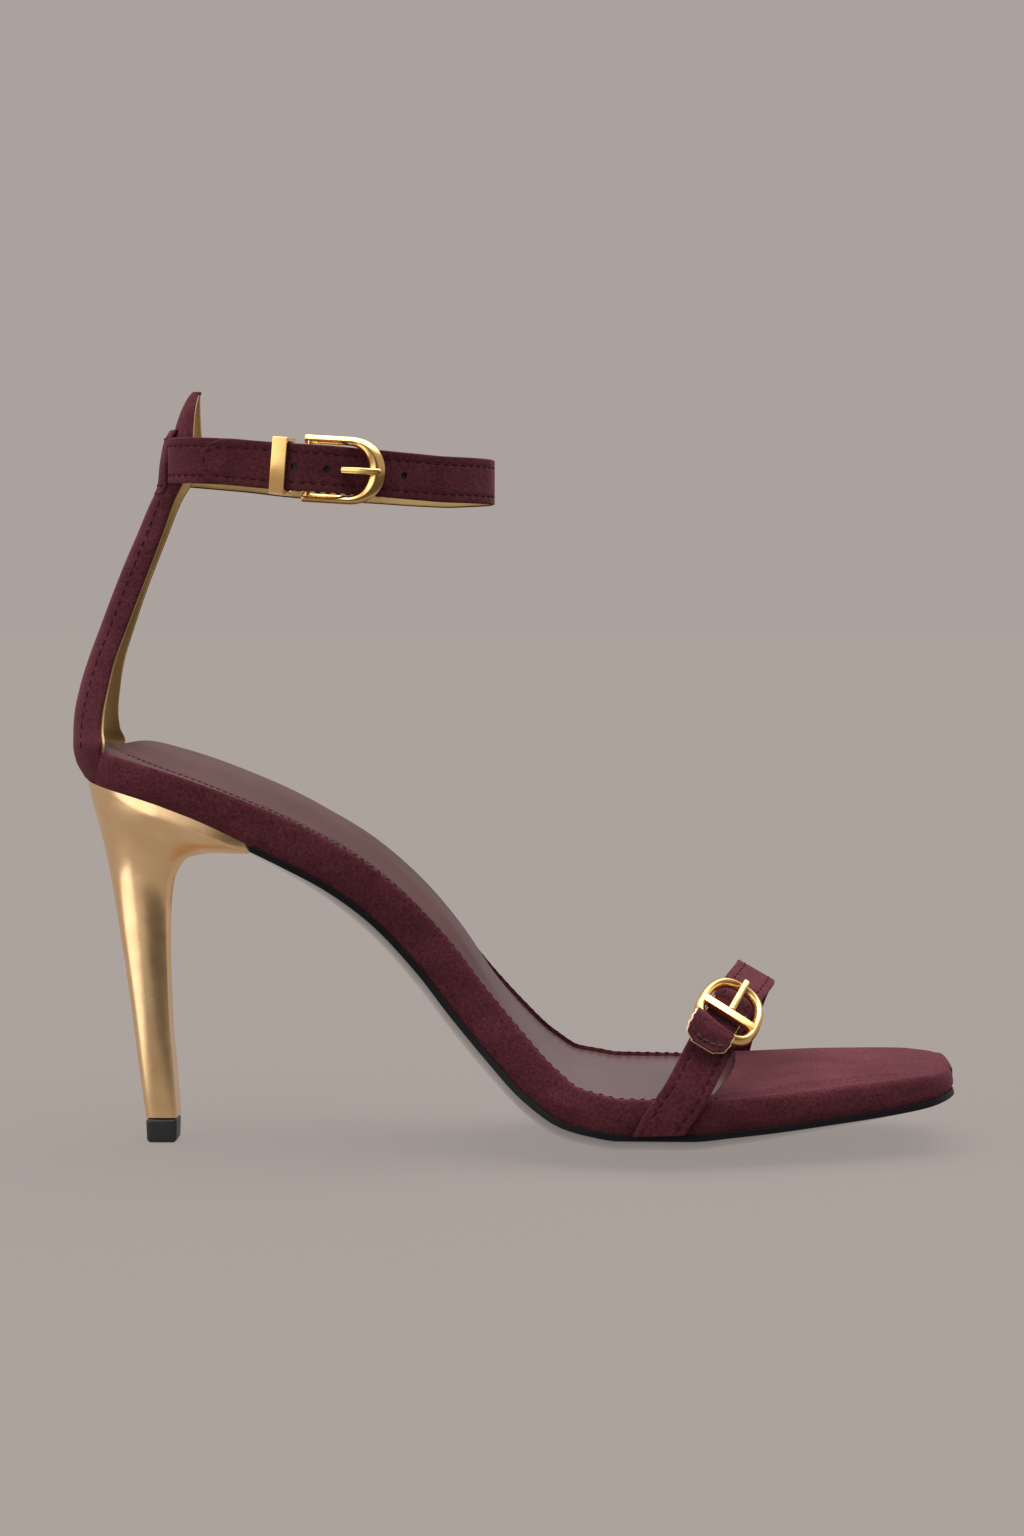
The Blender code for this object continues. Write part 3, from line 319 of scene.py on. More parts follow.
def through(rows, columns, name, at):
    """Smooth curve through a table's column, never past its rows' values."""
    places = np.array([row[0] for row in rows], float)
    values = np.array([row[columns.index(name)] for row in rows], float)
    secants = np.diff(values) / np.diff(places)
    slopes = np.concatenate(([secants[0]], np.zeros(len(rows) - 2), [secants[-1]]))
    before, after = secants[:-1], secants[1:]
    same = before * after > 0
    total = np.where(same, before + after, 1.0)
    slopes[1:-1] = np.where(same, 2.0 * before * after / total, 0.0)
    at = np.clip(np.asarray(at, float), places[0], places[-1])
    spot = np.clip(np.searchsorted(places, at, side="right") - 1, 0, len(places) - 2)
    span = places[spot + 1] - places[spot]
    t = (at - places[spot]) / span
    start, end = values[spot], values[spot + 1]
    bend = span * (slopes[spot] * (t - 2 * t**2 + t**3) + slopes[spot + 1] * (t**3 - t**2))
    return start + (end - start) * (3 * t**2 - 2 * t**3) + bend


def ease(low, high, value):
    share = np.clip((value - low) / (high - low), 0.0, 1.0)
    return share * share * (3.0 - 2.0 * share)


def sole_value(name, along):
    return through(SOLE_ROWS, SOLE_COLUMNS, name, along)


def along_at(x):
    return np.clip((x + SEAT_OVERHANG) / SOLE_LENGTH, 0.0, 1.0)


def outline(along, side):
    """The sole's outline in plan; side is -1 on the lateral edge and 1 on the medial."""
    back = np.clip(1.0 - along * SOLE_LENGTH / SEAT_ROUND, 0.0, 1.0)
    front = np.clip(1.0 - (1.0 - along) * SOLE_LENGTH / TOE_ROUND, 0.0, 1.0)
    seat = np.maximum(np.sqrt(1.0 - back**2), 0.1)
    toe = TOE_FLAT + (1.0 - TOE_FLAT) * np.sqrt(1.0 - front**2)
    half = sole_value("half", along) * seat * toe
    y = (sole_value("swing", along) + side * half) * BALL_WIDTH
    return along * SOLE_LENGTH - SEAT_OVERHANG, y


def unit(vectors):
    return vectors / np.linalg.norm(vectors, axis=-1, keepdims=True)


def square_to(run, faces):
    """Facings turned square to a run."""
    return unit(faces - run * np.sum(faces * run, axis=-1, keepdims=True))


def inset_outline(along, side, inset):
    step = 0.0012
    before_x, before_y = outline(np.clip(along - step, 0.0, 1.0), side)
    after_x, after_y = outline(np.clip(along + step, 0.0, 1.0), side)
    run_x, run_y = after_x - before_x, after_y - before_y
    length = np.hypot(run_x, run_y)
    x, y = outline(along, side)
    return x + run_y / length * side * inset, y - run_x / length * side * inset


def edge_level(along):
    rise = sole_value("rise", along) * HEEL_RISE
    return OUTSOLE_THICKNESS + GAP + rise + sole_value("belly", along) * BOTTOM_CROWN


def profile_normal(along):
    step = 0.004
    low, high = np.clip(along - step, 0.0, 1.0), np.clip(along + step, 0.0, 1.0)
    climb = (edge_level(high) - edge_level(low)) / ((high - low) * SOLE_LENGTH)
    length = np.hypot(climb, 1.0)
    return -climb / length, 1.0 / length


def sole_point(x, y, height, crowned=True):
    """A point over the plan, at a height square to the sole's lower surface."""
    along = along_at(x)
    level = edge_level(along)
    if crowned:
        half = sole_value("half", along) * BALL_WIDTH
        across = np.abs(y - sole_value("swing", along) * BALL_WIDTH) / half
        hollow = np.clip((across - TREAD_FLAT) / (1.0 - TREAD_FLAT), 0.0, 1.0) ** 1.8
        level = level - sole_value("belly", along) * BOTTOM_CROWN * (1.0 - hollow)
    lean, up = profile_normal(along)
    return np.stack(np.broadcast_arrays(x + lean * height, y, level + up * height), axis=-1)


def facing_up(along):
    lean, up = profile_normal(along)
    return np.stack([lean, np.zeros_like(lean), up], axis=-1)


def edge_to_edge(along, inset, shares):
    """Places in plan between the sole's edges, drawn in, at shares from 0 to 1."""
    left, right = (np.array(inset_outline(along, side, inset)) for side in (-1, 1))
    return left[:, None] + (right - left)[:, None] * shares


def stations(start, end, count):
    """Places along the sole, closer together towards its ends."""
    return start + (end - start) * (0.5 - 0.5 * np.cos(pi * np.linspace(0.0, 1.0, count + 1)))


def rand_height(along):
    return sole_value("rand", along) * RAND_HEIGHT


def across_shares(count, crowd=1.6):
    """Shares across the sole, closer together near its edges."""
    even = np.linspace(-1.0, 1.0, count)
    return np.sign(even) * (1.0 - (1.0 - np.abs(even)) ** crowd)


# Modelling

def select_only(piece):
    bpy.ops.object.select_all(action="DESELECT")
    piece.select_set(True)
    bpy.context.view_layer.objects.active = piece


def edit(piece, select="SELECT"):
    select_only(piece)
    bpy.ops.object.mode_set(mode="EDIT")
    bpy.ops.mesh.select_mode(type="VERT")
    bpy.ops.mesh.select_all(action=select)


def leave_edit():
    bpy.ops.object.mode_set(mode="OBJECT")


def primitive(kind, name, **settings):
    """A new primitive, with nothing else selected."""
    bpy.ops.object.select_all(action="DESELECT")
    getattr(bpy.ops.mesh, f"primitive_{kind}_add")(**settings)
    piece = bpy.context.active_object
    piece.name = name
    return piece


def grid_shaped(name, points):
    """A grid primitive with its vertices moved to an array of rows of points."""
    rows, count = points.shape[:2]
    piece = primitive("grid", name, x_subdivisions=count - 1, y_subdivisions=rows - 1, size=2.0)
    flat = np.empty(len(piece.data.vertices) * 3)
    piece.data.vertices.foreach_get("co", flat)
    flat = flat.reshape(-1, 3)
    column = np.rint((flat[:, 0] + 1.0) / 2.0 * (count - 1)).astype(int)
    row = np.rint((flat[:, 1] + 1.0) / 2.0 * (rows - 1)).astype(int)
    piece.data.vertices.foreach_set("co", points[row, column].astype(np.float32).ravel())
    piece.data.update()
    return piece


def tube_shaped(name, rings, closed_ends=True):
    """A closed skin through rings of points, seamed, with its two ends filled."""
    wrapped = np.concatenate([rings, rings[:, :1]], axis=1)
    piece = grid_shaped(name, wrapped)
    edit(piece)
    bpy.ops.mesh.remove_doubles(threshold=0.002 * MM)
    if closed_ends:
        bpy.ops.mesh.select_all(action="DESELECT")
        bpy.ops.mesh.select_non_manifold()
        bpy.ops.mesh.fill_holes(sides=0)
    bpy.ops.mesh.select_all(action="SELECT")
    bpy.ops.mesh.normals_make_consistent(inside=False)
    leave_edit()
    skin = bmesh.new()
    skin.from_mesh(piece.data)
    if skin.calc_volume(signed=True) < 0:
        edit(piece)
        bpy.ops.mesh.flip_normals()
        leave_edit()
    skin.free()
    return piece


def use_modifier(piece, kind, **settings):
    select_only(piece)
    step = piece.modifiers.new(kind.title(), kind)
    for name, value in settings.items():
        setattr(step, name, value)
    bpy.ops.object.modifier_apply(modifier=step.name)


def cut(piece, *tools):
    for tool in tools:
        use_modifier(piece, "BOOLEAN", operation="DIFFERENCE", solver="MANIFOLD", object=tool)
        bpy.data.objects.remove(tool)


def joined(name, pieces):
    bpy.ops.object.select_all(action="DESELECT")
    for piece in pieces:
        piece.select_set(True)
    bpy.context.view_layer.objects.active = pieces[0]
    bpy.ops.object.join()
    pieces[0].name = name
    return pieces[0]


def dress(piece, surface, replaces=(), smooth=40.0):
    """Give a finished piece its finish and its body, and hide the frame's nodes that it replaces."""
    select_only(piece)
    bpy.ops.object.transform_apply(location=True, rotation=True, scale=True)
    piece.data.materials.clear()
    piece.data.materials.append(surface)
    bpy.ops.object.shade_smooth_by_angle(angle=radians(smooth))
    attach(piece, "root")
    if replaces:
        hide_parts(*replaces)
    return piece


def rod(name, start, end, diameter, sides=32):
    """A cylinder primitive laid between two points."""
    start, end = Vector(start), Vector(end)
    line = end - start
    piece = primitive("cylinder", name, vertices=sides, radius=diameter / 2, depth=line.length)
    turn = line.to_track_quat("Z", "Y").to_matrix().to_4x4()
    piece.data.transform(Matrix.Translation((start + end) / 2) @ turn)
    return piece


def block(name, size, where, bevel=0.0, segments=3):
    """A cube primitive at its size and place, with its edges rounded."""
    piece = primitive("cube", name, size=1.0)
    piece.data.transform(Matrix.Diagonal((*size, 1.0)))
    if bevel:
        use_modifier(piece, "BEVEL", width=bevel, segments=segments, limit_method="ANGLE")
    piece.data.transform(where)
    return piece


# Finishes

def put(socket, value, made):
    """Set a socket to a number, a colour or a vector, or link another node's output to it."""
    if isinstance(value, bpy.types.NodeSocket):
        made.node_tree.links.new(value, socket)
    else:
        colour = socket.type == "RGBA" and len(value) == 3
        socket.default_value = (*value, 1.0) if colour else value


def node(made, kind, inputs, **settings):
    """A node with its settings made and its inputs set or linked."""
    new = made.node_tree.nodes.new("ShaderNode" + kind)
    for name, value in settings.items():
        setattr(new, name, value)
    for name, value in inputs.items():
        put(new.inputs[name], value, made)
    return new


def new_finish(name):
    made = bpy.data.materials.new(name)
    made.use_nodes = True
    return made


def shade(made, inputs):
    for name, value in inputs.items():
        put(made.node_tree.nodes["Principled BSDF"].inputs[name], value, made)


def noise(made, scale, detail=2.0, distortion=0.0, stretch=(1.0, 1.0, 1.0)):
    coords = node(made, "TexCoord", {}).outputs["Object"]
    placed = node(made, "Mapping", {"Vector": coords, "Scale": stretch}).outputs["Vector"]
    grain = {"Vector": placed, "Scale": scale, "Detail": detail, "Distortion": distortion}
    return node(made, "TexNoise", grain).outputs["Fac"]


def ramp(made, value, *stops):
    """A colour ramp over a value; stops are (place, colour) pairs, a colour being three or one."""
    new = node(made, "ValToRGB", {"Fac": value})
    elements = new.color_ramp.elements
    while len(elements) < len(stops):
        elements.new(0.5)
    for element, (place, colour) in zip(elements, stops):
        element.position = place
        element.color = (*colour, 1.0) if isinstance(colour, tuple) else (colour, colour, colour, 1.0)
    return new.outputs["Color"]


def between(made, value, low, high, least=0.0, most=1.0):
    """A soft step from one value to another as an input goes from low to high."""
    inputs = {"Value": value, "From Min": low, "From Max": high, "To Min": least, "To Max": most}
    return node(made, "MapRange", inputs, interpolation_type="SMOOTHSTEP").outputs["Result"]


def reckon(made, operation, *values):
    """A Math node over numbers or other nodes' outputs."""
    return node(made, "Math", dict(enumerate(values)), operation=operation).outputs["Value"]


def place_on(made, axis):
    coords = node(made, "TexCoord", {}).outputs["Object"]
    return node(made, "SeparateXYZ", {"Vector": coords}).outputs[axis]


def bumped(made, *layers):
    """Bump nodes in a row, one for each (height, strength, depth)."""
    last = {}
    for height, strength, depth in layers:
        bump = node(made, "Bump", {"Height": height, "Strength": strength, "Distance": depth, **last})
        last = {"Normal": bump.outputs["Normal"]}
    shade(made, last)


def suede_finish(name, dark, base, light):
    """Short-napped suede: brushed patches, a fine mottle, and a soft sheen at the edges."""
    made = new_finish(name)
    brushed = noise(made, 60, 3.0, 0.6, (1.0, 1.0, 1.7))
    patches = ramp(made, brushed, (0.28, dark), (0.5, base), (0.74, light))
    mottle = ramp(made, noise(made, 1500), (0.30, 0.62), (0.72, 1.32))
    cloth = node(made, "Mix", {}, data_type="RGBA", blend_type="MULTIPLY")
    for socket, value in (("Factor", 1.0), ("A", patches), ("B", mottle)):
        put(cloth.inputs[socket], value, made)
    shade(made, {
        "Base Color": cloth.outputs["Result"], "Roughness": 0.92, "Specular IOR Level": 0.05,
        "Sheen Weight": 0.16, "Sheen Roughness": 0.45, "Sheen Tint": (0.80, 0.34, 0.38)})
    bumped(made, (noise(made, 1900, 3.0), 0.55, 0.25 * MM), (noise(made, 420), 0.25, 0.30 * MM))
    return made


def leather_finish(name, dark, base, roughness, grain, metallic=0.0):
    """Smooth leather with fine pores, slightly uneven in colour and gloss."""
    made = new_finish(name)
    worn = noise(made, 110, 3.0, 0.4)
    shade(made, {
        "Base Color": ramp(made, noise(made, 60), (0.3, dark), (0.7, base)),
        "Roughness": ramp(made, worn, (0.25, roughness * 0.85), (0.8, roughness * 1.2)),
        "Metallic": metallic, "Coat Weight": 0.0, "Coat Roughness": 0.35})
    bumped(made, (noise(made, grain, 3.0), 0.25, 0.12 * MM))
    return made


def metal_finish(name, dark, base, roughness, brush, depth):
    """Plated metal with a fine brushed grain and faint clouding."""
    made = new_finish(name)
    shade(made, {
        "Base Color": ramp(made, noise(made, 140), (0.25, dark), (0.75, base)),
        "Roughness": ramp(made, noise(made, 260), (0.2, roughness * 0.85), (0.8, roughness * 1.15)),
        "Metallic": 1.0})
    bumped(made, (noise(made, brush, 2.0, 0.0, (1.0, 1.0, 0.12)), 0.10, depth))
    return made


def gloss_finish(name, colour, roughness, coat, specular=0.5):
    made = new_finish(name)
    lit = tuple(1.5 * share for share in colour)
    shade(made, {
        "Base Color": ramp(made, noise(made, 300), (0.3, colour), (0.8, lit)), "Roughness": roughness,
        "Coat Weight": coat, "Coat Roughness": 0.08, "Specular IOR Level": specular})
    bumped(made, (noise(made, 900), 0.06, 0.1 * MM))
    return made


def thread_finish(name, dark, light):
    made = new_finish(name)
    twist = ramp(made, noise(made, 2600, 1.0), (0.35, dark), (0.65, light))
    shade(made, {"Base Color": twist, "Roughness": 0.7, "Specular IOR Level": 0.06})
    return made


SUEDE = suede_finish("suede", (0.050, 0.0118, 0.0160), (0.063, 0.0152, 0.0205), (0.080, 0.0205, 0.027))
SOCK = leather_finish("sock_leather", (0.050, 0.018, 0.017), (0.068, 0.027, 0.025), 0.29, 1700)


def polish_forward(made):
    """Matt at the seat and the arch, and rubbed to a gloss under the ball of the foot."""
    rubbed = between(made, place_on(made, "X"), 0.045, 0.110, 0.66, 0.26)
    shade(made, {"Roughness": rubbed, "Specular IOR Level": 0.22})


polish_forward(SOCK)
LINING = leather_finish("gold_lining", (0.36, 0.24, 0.085), (0.52, 0.36, 0.14), 0.48, 1500, 0.35)
RAW_EDGE = leather_finish("raw_edge", (0.62, 0.44, 0.25), (0.78, 0.60, 0.38), 0.6, 2200)
BLACK = gloss_finish("outsole_black", (0.006, 0.006, 0.007), 0.16, 1.0)
RUBBER = gloss_finish("tip_rubber", (0.010, 0.010, 0.011), 0.42, 0.0)
HEEL_GOLD = metal_finish("heel_gold", (0.90, 0.60, 0.31), (0.96, 0.68, 0.38), 0.25, 2600, 0.003 * MM)
BUCKLE_GOLD = metal_finish("buckle_gold", (0.80, 0.48, 0.16), (0.92, 0.61, 0.26), 0.20, 900, 0.03 * MM)
THREAD = thread_finish("burgundy_thread", (0.012, 0.003, 0.006), (0.040, 0.010, 0.018))
RED_THREAD = thread_finish("red_thread", (0.030, 0.006, 0.010), (0.075, 0.014, 0.022))
GOLD_THREAD = thread_finish("gold_thread", (0.20, 0.12, 0.04), (0.42, 0.28, 0.10))
BLACK_EDGE = gloss_finish("outsole_edge_black", (0.004, 0.004, 0.005), 0.45, 0.0, 0.15)
# Near-black: the thread colour of the dark stitches on the toe strap's end, and painted shade on the discs
# in the punched holes
DARK_THREAD_AND_HOLE_SHADE = gloss_finish("dark_thread_and_hole_shade", (0.006, 0.004, 0.005), 0.55, 0.0)


# Thread

def stitch_shape():
    """One stitch: a cube rounded into a short plump dash along X."""
    piece = primitive("cube", "stitch", size=1.0)
    use_modifier(piece, "SUBSURF", levels=2, render_levels=2)
    size = (1.25 * STITCH_LENGTH, 1.6 * STITCH_WIDTH, 1.5 * STITCH_WIDTH)
    piece.data.transform(Matrix.Diagonal((*size, 1.0)))
    return piece


STITCH = stitch_shape()


def stitched(name, line, facings, surface, pitch=STITCH_PITCH, size=1.0):
    """A row of stitches along a line of points, each lying on the surface that it faces from."""
    runs = np.linalg.norm(np.diff(line, axis=0), axis=1)
    travelled = np.concatenate(([0.0], np.cumsum(runs)))
    count = int(travelled[-1] / pitch)
    middles = (np.arange(count) + 0.5) * travelled[-1] / count
    reach = 0.3 * pitch

    def on_line(values, at):
        return np.stack([np.interp(at, travelled, values[:, axis]) for axis in range(3)], axis=-1)

    spots, faces = on_line(line, middles), on_line(facings, middles)
    ahead = on_line(line, middles + reach) - on_line(line, middles - reach)
    copies = []
    for spot, face, run in zip(spots, faces, ahead):
        x_axis = Vector(run).normalized()
        z_axis = (Vector(face) - x_axis * Vector(face).dot(x_axis)).normalized()
        turn = Matrix((x_axis, z_axis.cross(x_axis), z_axis)).transposed().to_4x4()
        copy = STITCH.copy()
        copy.data = STITCH.data.copy()
        bpy.context.scene.collection.objects.link(copy)
        copy.data.transform(Matrix.Translation(spot) @ turn @ Matrix.Diagonal((size, size, size, 1.0)))
        copies.append(copy)
    return dress(joined(name, copies), surface, smooth=80.0)


# Sole

def cover_rings():
    """Sections of the covered board: rand, rolled edge, rim, recess and the toe's top."""
    face = np.concatenate([np.linspace(0.0, 0.7, 9), np.linspace(0.76, 1.0, 8)])
    feather = through(RAND_ROWS, RAND_COLUMNS, "feather", face) * FEATHER_INSET
    rolled = through(RAND_ROWS, RAND_COLUMNS, "roll", face)
    shares = across_shares(41, 1.9)[1:-1]
    places = np.unique(np.concatenate([stations(0.0, 1.0, 150), np.linspace(0.70, 0.78, 60)]))
    rings = []
    for along in places:
        roll = sole_value("roll", along) * RAND_ROLL
        height = rand_height(along)
        ring = []
        for side in (-1, 1):
            x, y = inset_outline(along, side, feather + rolled * roll)
            wall = sole_point(x, y, face * height)
            ring.append(wall if side == -1 else wall[::-1])
        ends = edge_to_edge(along, roll, np.array([0.0, 1.0]))
        near = (roll + np.array([0.15, 0.4, 0.8]) * MM) / np.hypot(*(ends[:, 1] - ends[:, 0]))
        spread = np.concatenate([near, near[-1] + (1 - 2 * near[-1]) * (shares + 1) / 2, 1 - near[::-1]])
        plan = edge_to_edge(along, roll, spread)
        toe = ease(SOCK_END - 0.01, SOCK_END + 0.10, along)
        crown = TOE_TOP_CROWN * (1.0 - (2 * spread - 1) ** 2) * toe
        recess = (SOCK_RECESS + SOCK_THICKNESS * 0.6) * inside_sock(plan[0], plan[1])
        top = sole_point(plan[0], plan[1], height + crown - recess, crowned=False)
        floor = sole_point(*edge_to_edge(along, FEATHER_INSET, (shares + 1) / 2)[:, ::-1], 0.0)
        rings.append(np.concatenate([ring[0], top, ring[1], floor]))
    return np.array(rings + toe_face(rings[-1], sole_value("roll", 1.0) * RAND_ROLL))


def toe_face(end, roll):
    """Rings that round the cover over its front edge and in across the toe's face."""
    low, high = end.min(axis=0), end.max(axis=0)
    middle, half = (low + high) / 2, (high - low) / 2
    rings = []
    for angle in np.linspace(0.0, pi / 2, 8)[1:]:
        gone = roll * (1 - cos(angle))
        ring = middle + (end - middle) * (1 - gone / half)
        ring[:, 0] = np.maximum(end[:, 0], high[0] - roll * (1 - sin(angle)))
        rings.append(ring)
    return rings


EDGE_LINE = np.concatenate([
    np.stack(outline(stations(0.0, 1.0, 700), -1), axis=-1),
    np.stack(outline(stations(0.0, 1.0, 700), 1), axis=-1),
    np.stack(outline(np.zeros(20), np.linspace(-1, 1, 20)), axis=-1),
])


def edge_distance(x, y):
    """Distance in plan from the sole's outline."""
    gaps = np.hypot(np.ravel(x)[:, None] - EDGE_LINE[:, 0], np.ravel(y)[:, None] - EDGE_LINE[:, 1])
    return gaps.min(axis=1).reshape(np.shape(x))


def sock_front(share):
    """How far along the sole the sock reaches, at a share of the way out from its middle."""
    corner = np.clip((np.abs(share) - 0.80) / 0.20, 0.0, 1.0) ** 2
    ahead = SOCK_END_BOW * (1 - share**2) - SOCK_CORNER * corner
    return SOCK_END + SOCK_END_SLANT * share + ahead / SOLE_LENGTH


def inside_sock(x, y):
    """1 within the sock's recess and 0 on the rim, with a short slope between."""
    along = along_at(x)
    half = sole_value("half", along) * BALL_WIDTH - RIM_WIDTH
    share = np.clip((y - sole_value("swing", along) * BALL_WIDTH) / half, -1.0, 1.0)
    ahead = (sock_front(share) - along) * SOLE_LENGTH
    rim = ease(RIM_WIDTH - 0.25 * MM, RIM_WIDTH + 0.15 * MM, edge_distance(x, y))
    return rim * ease(-0.35 * MM, 0.05 * MM, ahead)


def stay_section(rows, height):
    back, reach, spread, wrap = (through(rows, STAY_COLUMNS, name, height) for name in STAY_COLUMNS[1:])
    return back * STAY_BACK, reach * STAY_BACK, spread * STAY_BACK, wrap


def cradle(name, rows, outer, inner, heights):
    """A strip that cups the back of the foot, with rounded edges."""
    steps = 40
    radius = (outer - inner) / 2
    middle = (outer + inner) / 2
    rings = []
    for height in heights:
        back, length, width, wrap = stay_section(rows, height)
        end = radians(float(wrap)) - radius / max(float(width), 2 * radius)
        sweep = np.linspace(-end, end, steps)
        cap = np.linspace(pi / 2, -pi / 2, 9)[1:-1]
        past = radius * np.cos(cap) / max(float(width), 2 * radius)
        angles = np.concatenate([sweep, end + past, sweep[::-1], -end - past])
        offsets = np.concatenate([
            np.full(steps, outer), middle + radius * np.sin(cap),
            np.full(steps, inner), middle - radius * np.sin(cap)])
        across_x = np.maximum(length + offsets, 0.3 * MM)
        across_y = np.maximum(width + offsets, 0.3 * MM)
        x = back + length - across_x * np.cos(angles)
        level = np.full(len(angles), STAY_BASE_Z + height * STAY_HEIGHT)
        rings.append(np.stack([x, across_y * np.sin(angles), level], axis=-1))
    return tube_shaped(name, np.array(rings))


def sole_slab(name, low, high, overshoot):
    """Everything between two heights over the sole's lower surface, past its outline too."""
    shares = np.linspace(-1.0, 1.0, 25)
    rings = []
    for along in stations(0.0, 1.0, 90):
        plan = edge_to_edge(along, -overshoot, (shares + 1) / 2)
        rings.append(np.concatenate([sole_point(*plan, high), sole_point(*plan[:, ::-1], low)]))
    return tube_shaped(name, np.array(rings))


def stay_rebate(room):
    """What the stay's foot takes out of the pieces that it runs down past."""
    heights = np.linspace(STAY_ROWS[0][0], STAY_ROWS[7][0], 40)
    return cradle("rebate", STAY_ROWS[:8], 4 * MM, -STAY_WALL - room, heights)


def make_platform():
    cover = tube_shaped("platform_cover", cover_rings())
    cut(cover, stay_rebate(GAP / 2))
    dress(cover, SUEDE, ["platform"])


def make_outsole():
    """The black sole: a rounded edge round the tread, thin at the breast."""
    low = -GAP - OUTSOLE_THICKNESS
    arris = OUTSOLE_ARRIS
    levels = [(OUTSOLE_EDGE_INSET + 5 * arris, low)]
    for angle in np.linspace(pi / 2, 0.0, 6):
        levels.append((OUTSOLE_EDGE_INSET + arris * (1 - cos(angle)), low + arris * (1 - sin(angle))))
    for height in np.linspace(low + arris + 0.04 * MM, -GAP / 3 - arris - 0.04 * MM, 4):
        levels.append((OUTSOLE_EDGE_INSET, height))
    for angle in np.linspace(0.0, pi / 2, 6):
        levels.append((OUTSOLE_EDGE_INSET + arris * (1 - cos(angle)), -GAP / 3 - arris * (1 - sin(angle))))
    insets, heights = np.array(levels).T
    shares = across_shares(41, 1.4)[1:-1]
    start = float(along_at(LIP_REACH + GAP))
    rings = []
    for along in stations(start, 1.0, 150):
        left, right = (sole_point(*inset_outline(along, side, insets), heights) for side in (-1, 1))
        top, tread = (sole_point(*edge_to_edge(along, insets[k], (shares + 1) / 2), heights[k])
                      for k in (-1, 0))
        rings.append(np.concatenate([left, top, right[::-1], tread[::-1]]))
    sole = tube_shaped("outsole_edge_and_tread", np.array(rings))
    dress(sole, BLACK, ["outsole"], smooth=50.0)
    sole.data.materials.append(BLACK_EDGE)
    for face in sole.data.polygons:
        face.material_index = int(face.normal.z > -0.5)


def sock_plan(along, inset, share):
    """A place on the sock: its sections turn and bow towards its front edge."""
    near = ease(0.60, SOCK_END, along)
    shift = (sock_front(share) - SOCK_END) * near
    left_x, left_y = inset_outline(np.clip(along + shift, 0.0, 1.0), -1, inset)
    right_x, right_y = inset_outline(np.clip(along + shift, 0.0, 1.0), 1, inset)
    mix = (share + 1) / 2
    return left_x + (right_x - left_x) * mix, left_y + (right_y - left_y) * mix


def welt_inset(along):
    """Where the pad's seam runs, in from the sole's outline."""
    seat = 1.0 - ease(0.02, 0.20, along)
    return RIM_WIDTH + GAP + SOCK_WELT + SEAT_WELT * seat


def sock_edge(along):
    return rand_height(along) - sole_value("sink", along) * SOCK_RECESS


def low_crown(share):
    return (1.0 - np.abs(share) ** 2.4) * PAD_LOW


def make_footbed():
    """The padded sock: a thin welt at its edge, a sewn seam, and the pad puffed inside it."""
    shares = across_shares(71, 1.7)
    rings = []
    for along in stations(SOCK_START, SOCK_END, 150):
        floor = rand_height(along) - SOCK_RECESS - SOCK_THICKNESS * 0.5
        inset = RIM_WIDTH + GAP / 2
        x, y = sock_plan(along, inset, shares)
        distance = edge_distance(x, y)
        front = np.clip((sock_front(shares) - along_at(x)) * SOLE_LENGTH, 0.0, 1.0)
        rounding = SOCK_ROUND * (1 - np.minimum((distance - inset) / (0.8 * MM), 1.0)) ** 2
        rounding = rounding + SOCK_ROUND * (1 - ease(0.0, 0.9 * MM, front)) ** 2
        seam = welt_inset(along)
        padded = ease(seam, seam + PAD_RUN, distance)
        puff = PAD_PUFF * ease(seam, seam + 1.3 * MM, distance) * ease(0.50, 0.35, along)
        pad = sole_value("pad", along) * SOCK_PAD * (low_crown(shares) + padded * (1.0 - PAD_LOW))
        groove = PAD_GROOVE * np.exp(-((distance - seam) / (0.45 * MM)) ** 2)
        top = sole_point(x, y, sock_edge(along) + pad + puff - rounding - groove, crowned=False)
        bottom = sole_point(x[::-1], y[::-1], floor, crowned=False)
        rings.append(np.concatenate([top, bottom]))
    sock = tube_shaped("footbed_pad", np.array(rings))
    cut(sock, stay_rebate(GAP / 3))
    dress(sock, SOCK, ["footbed"], smooth=50.0)


def make_sock_seams():
    """Thread at the rim's inner edge on both sides, and round the pad at the seat."""
    for name, side in (("rim_stitches_lateral", -1), ("rim_stitches_medial", 1)):
        along = np.linspace(0.10, 0.735, 260)
        x, y = inset_outline(along, side, 1.08 * RIM_WIDTH)
        line = sole_point(x, y, rand_height(along) - 0.32 * MM, crowned=False)
        stitched(name, line, facing_up(along), THREAD, pitch=2.5 * MM, size=0.58)
    lines, facings = [], []
    back = 0.040
    for side, along in ((-1, np.linspace(0.52, back, 200)), (1, np.linspace(back, 0.52, 200))):
        x, y = inset_outline(along, side, welt_inset(along))
        share = (y - sole_value("swing", along) * BALL_WIDTH) / (sole_value("half", along) * BALL_WIDTH)
        crown = low_crown(share) * sole_value("pad", along) * SOCK_PAD
        lines.append(sole_point(x, y, sock_edge(along) + crown - 0.22 * MM, crowned=False))
        facings.append(facing_up(along))
    stitched("pad_stitches", np.concatenate(lines), np.concatenate(facings), RED_THREAD,
             pitch=1.7 * MM, size=0.62)


# Heel

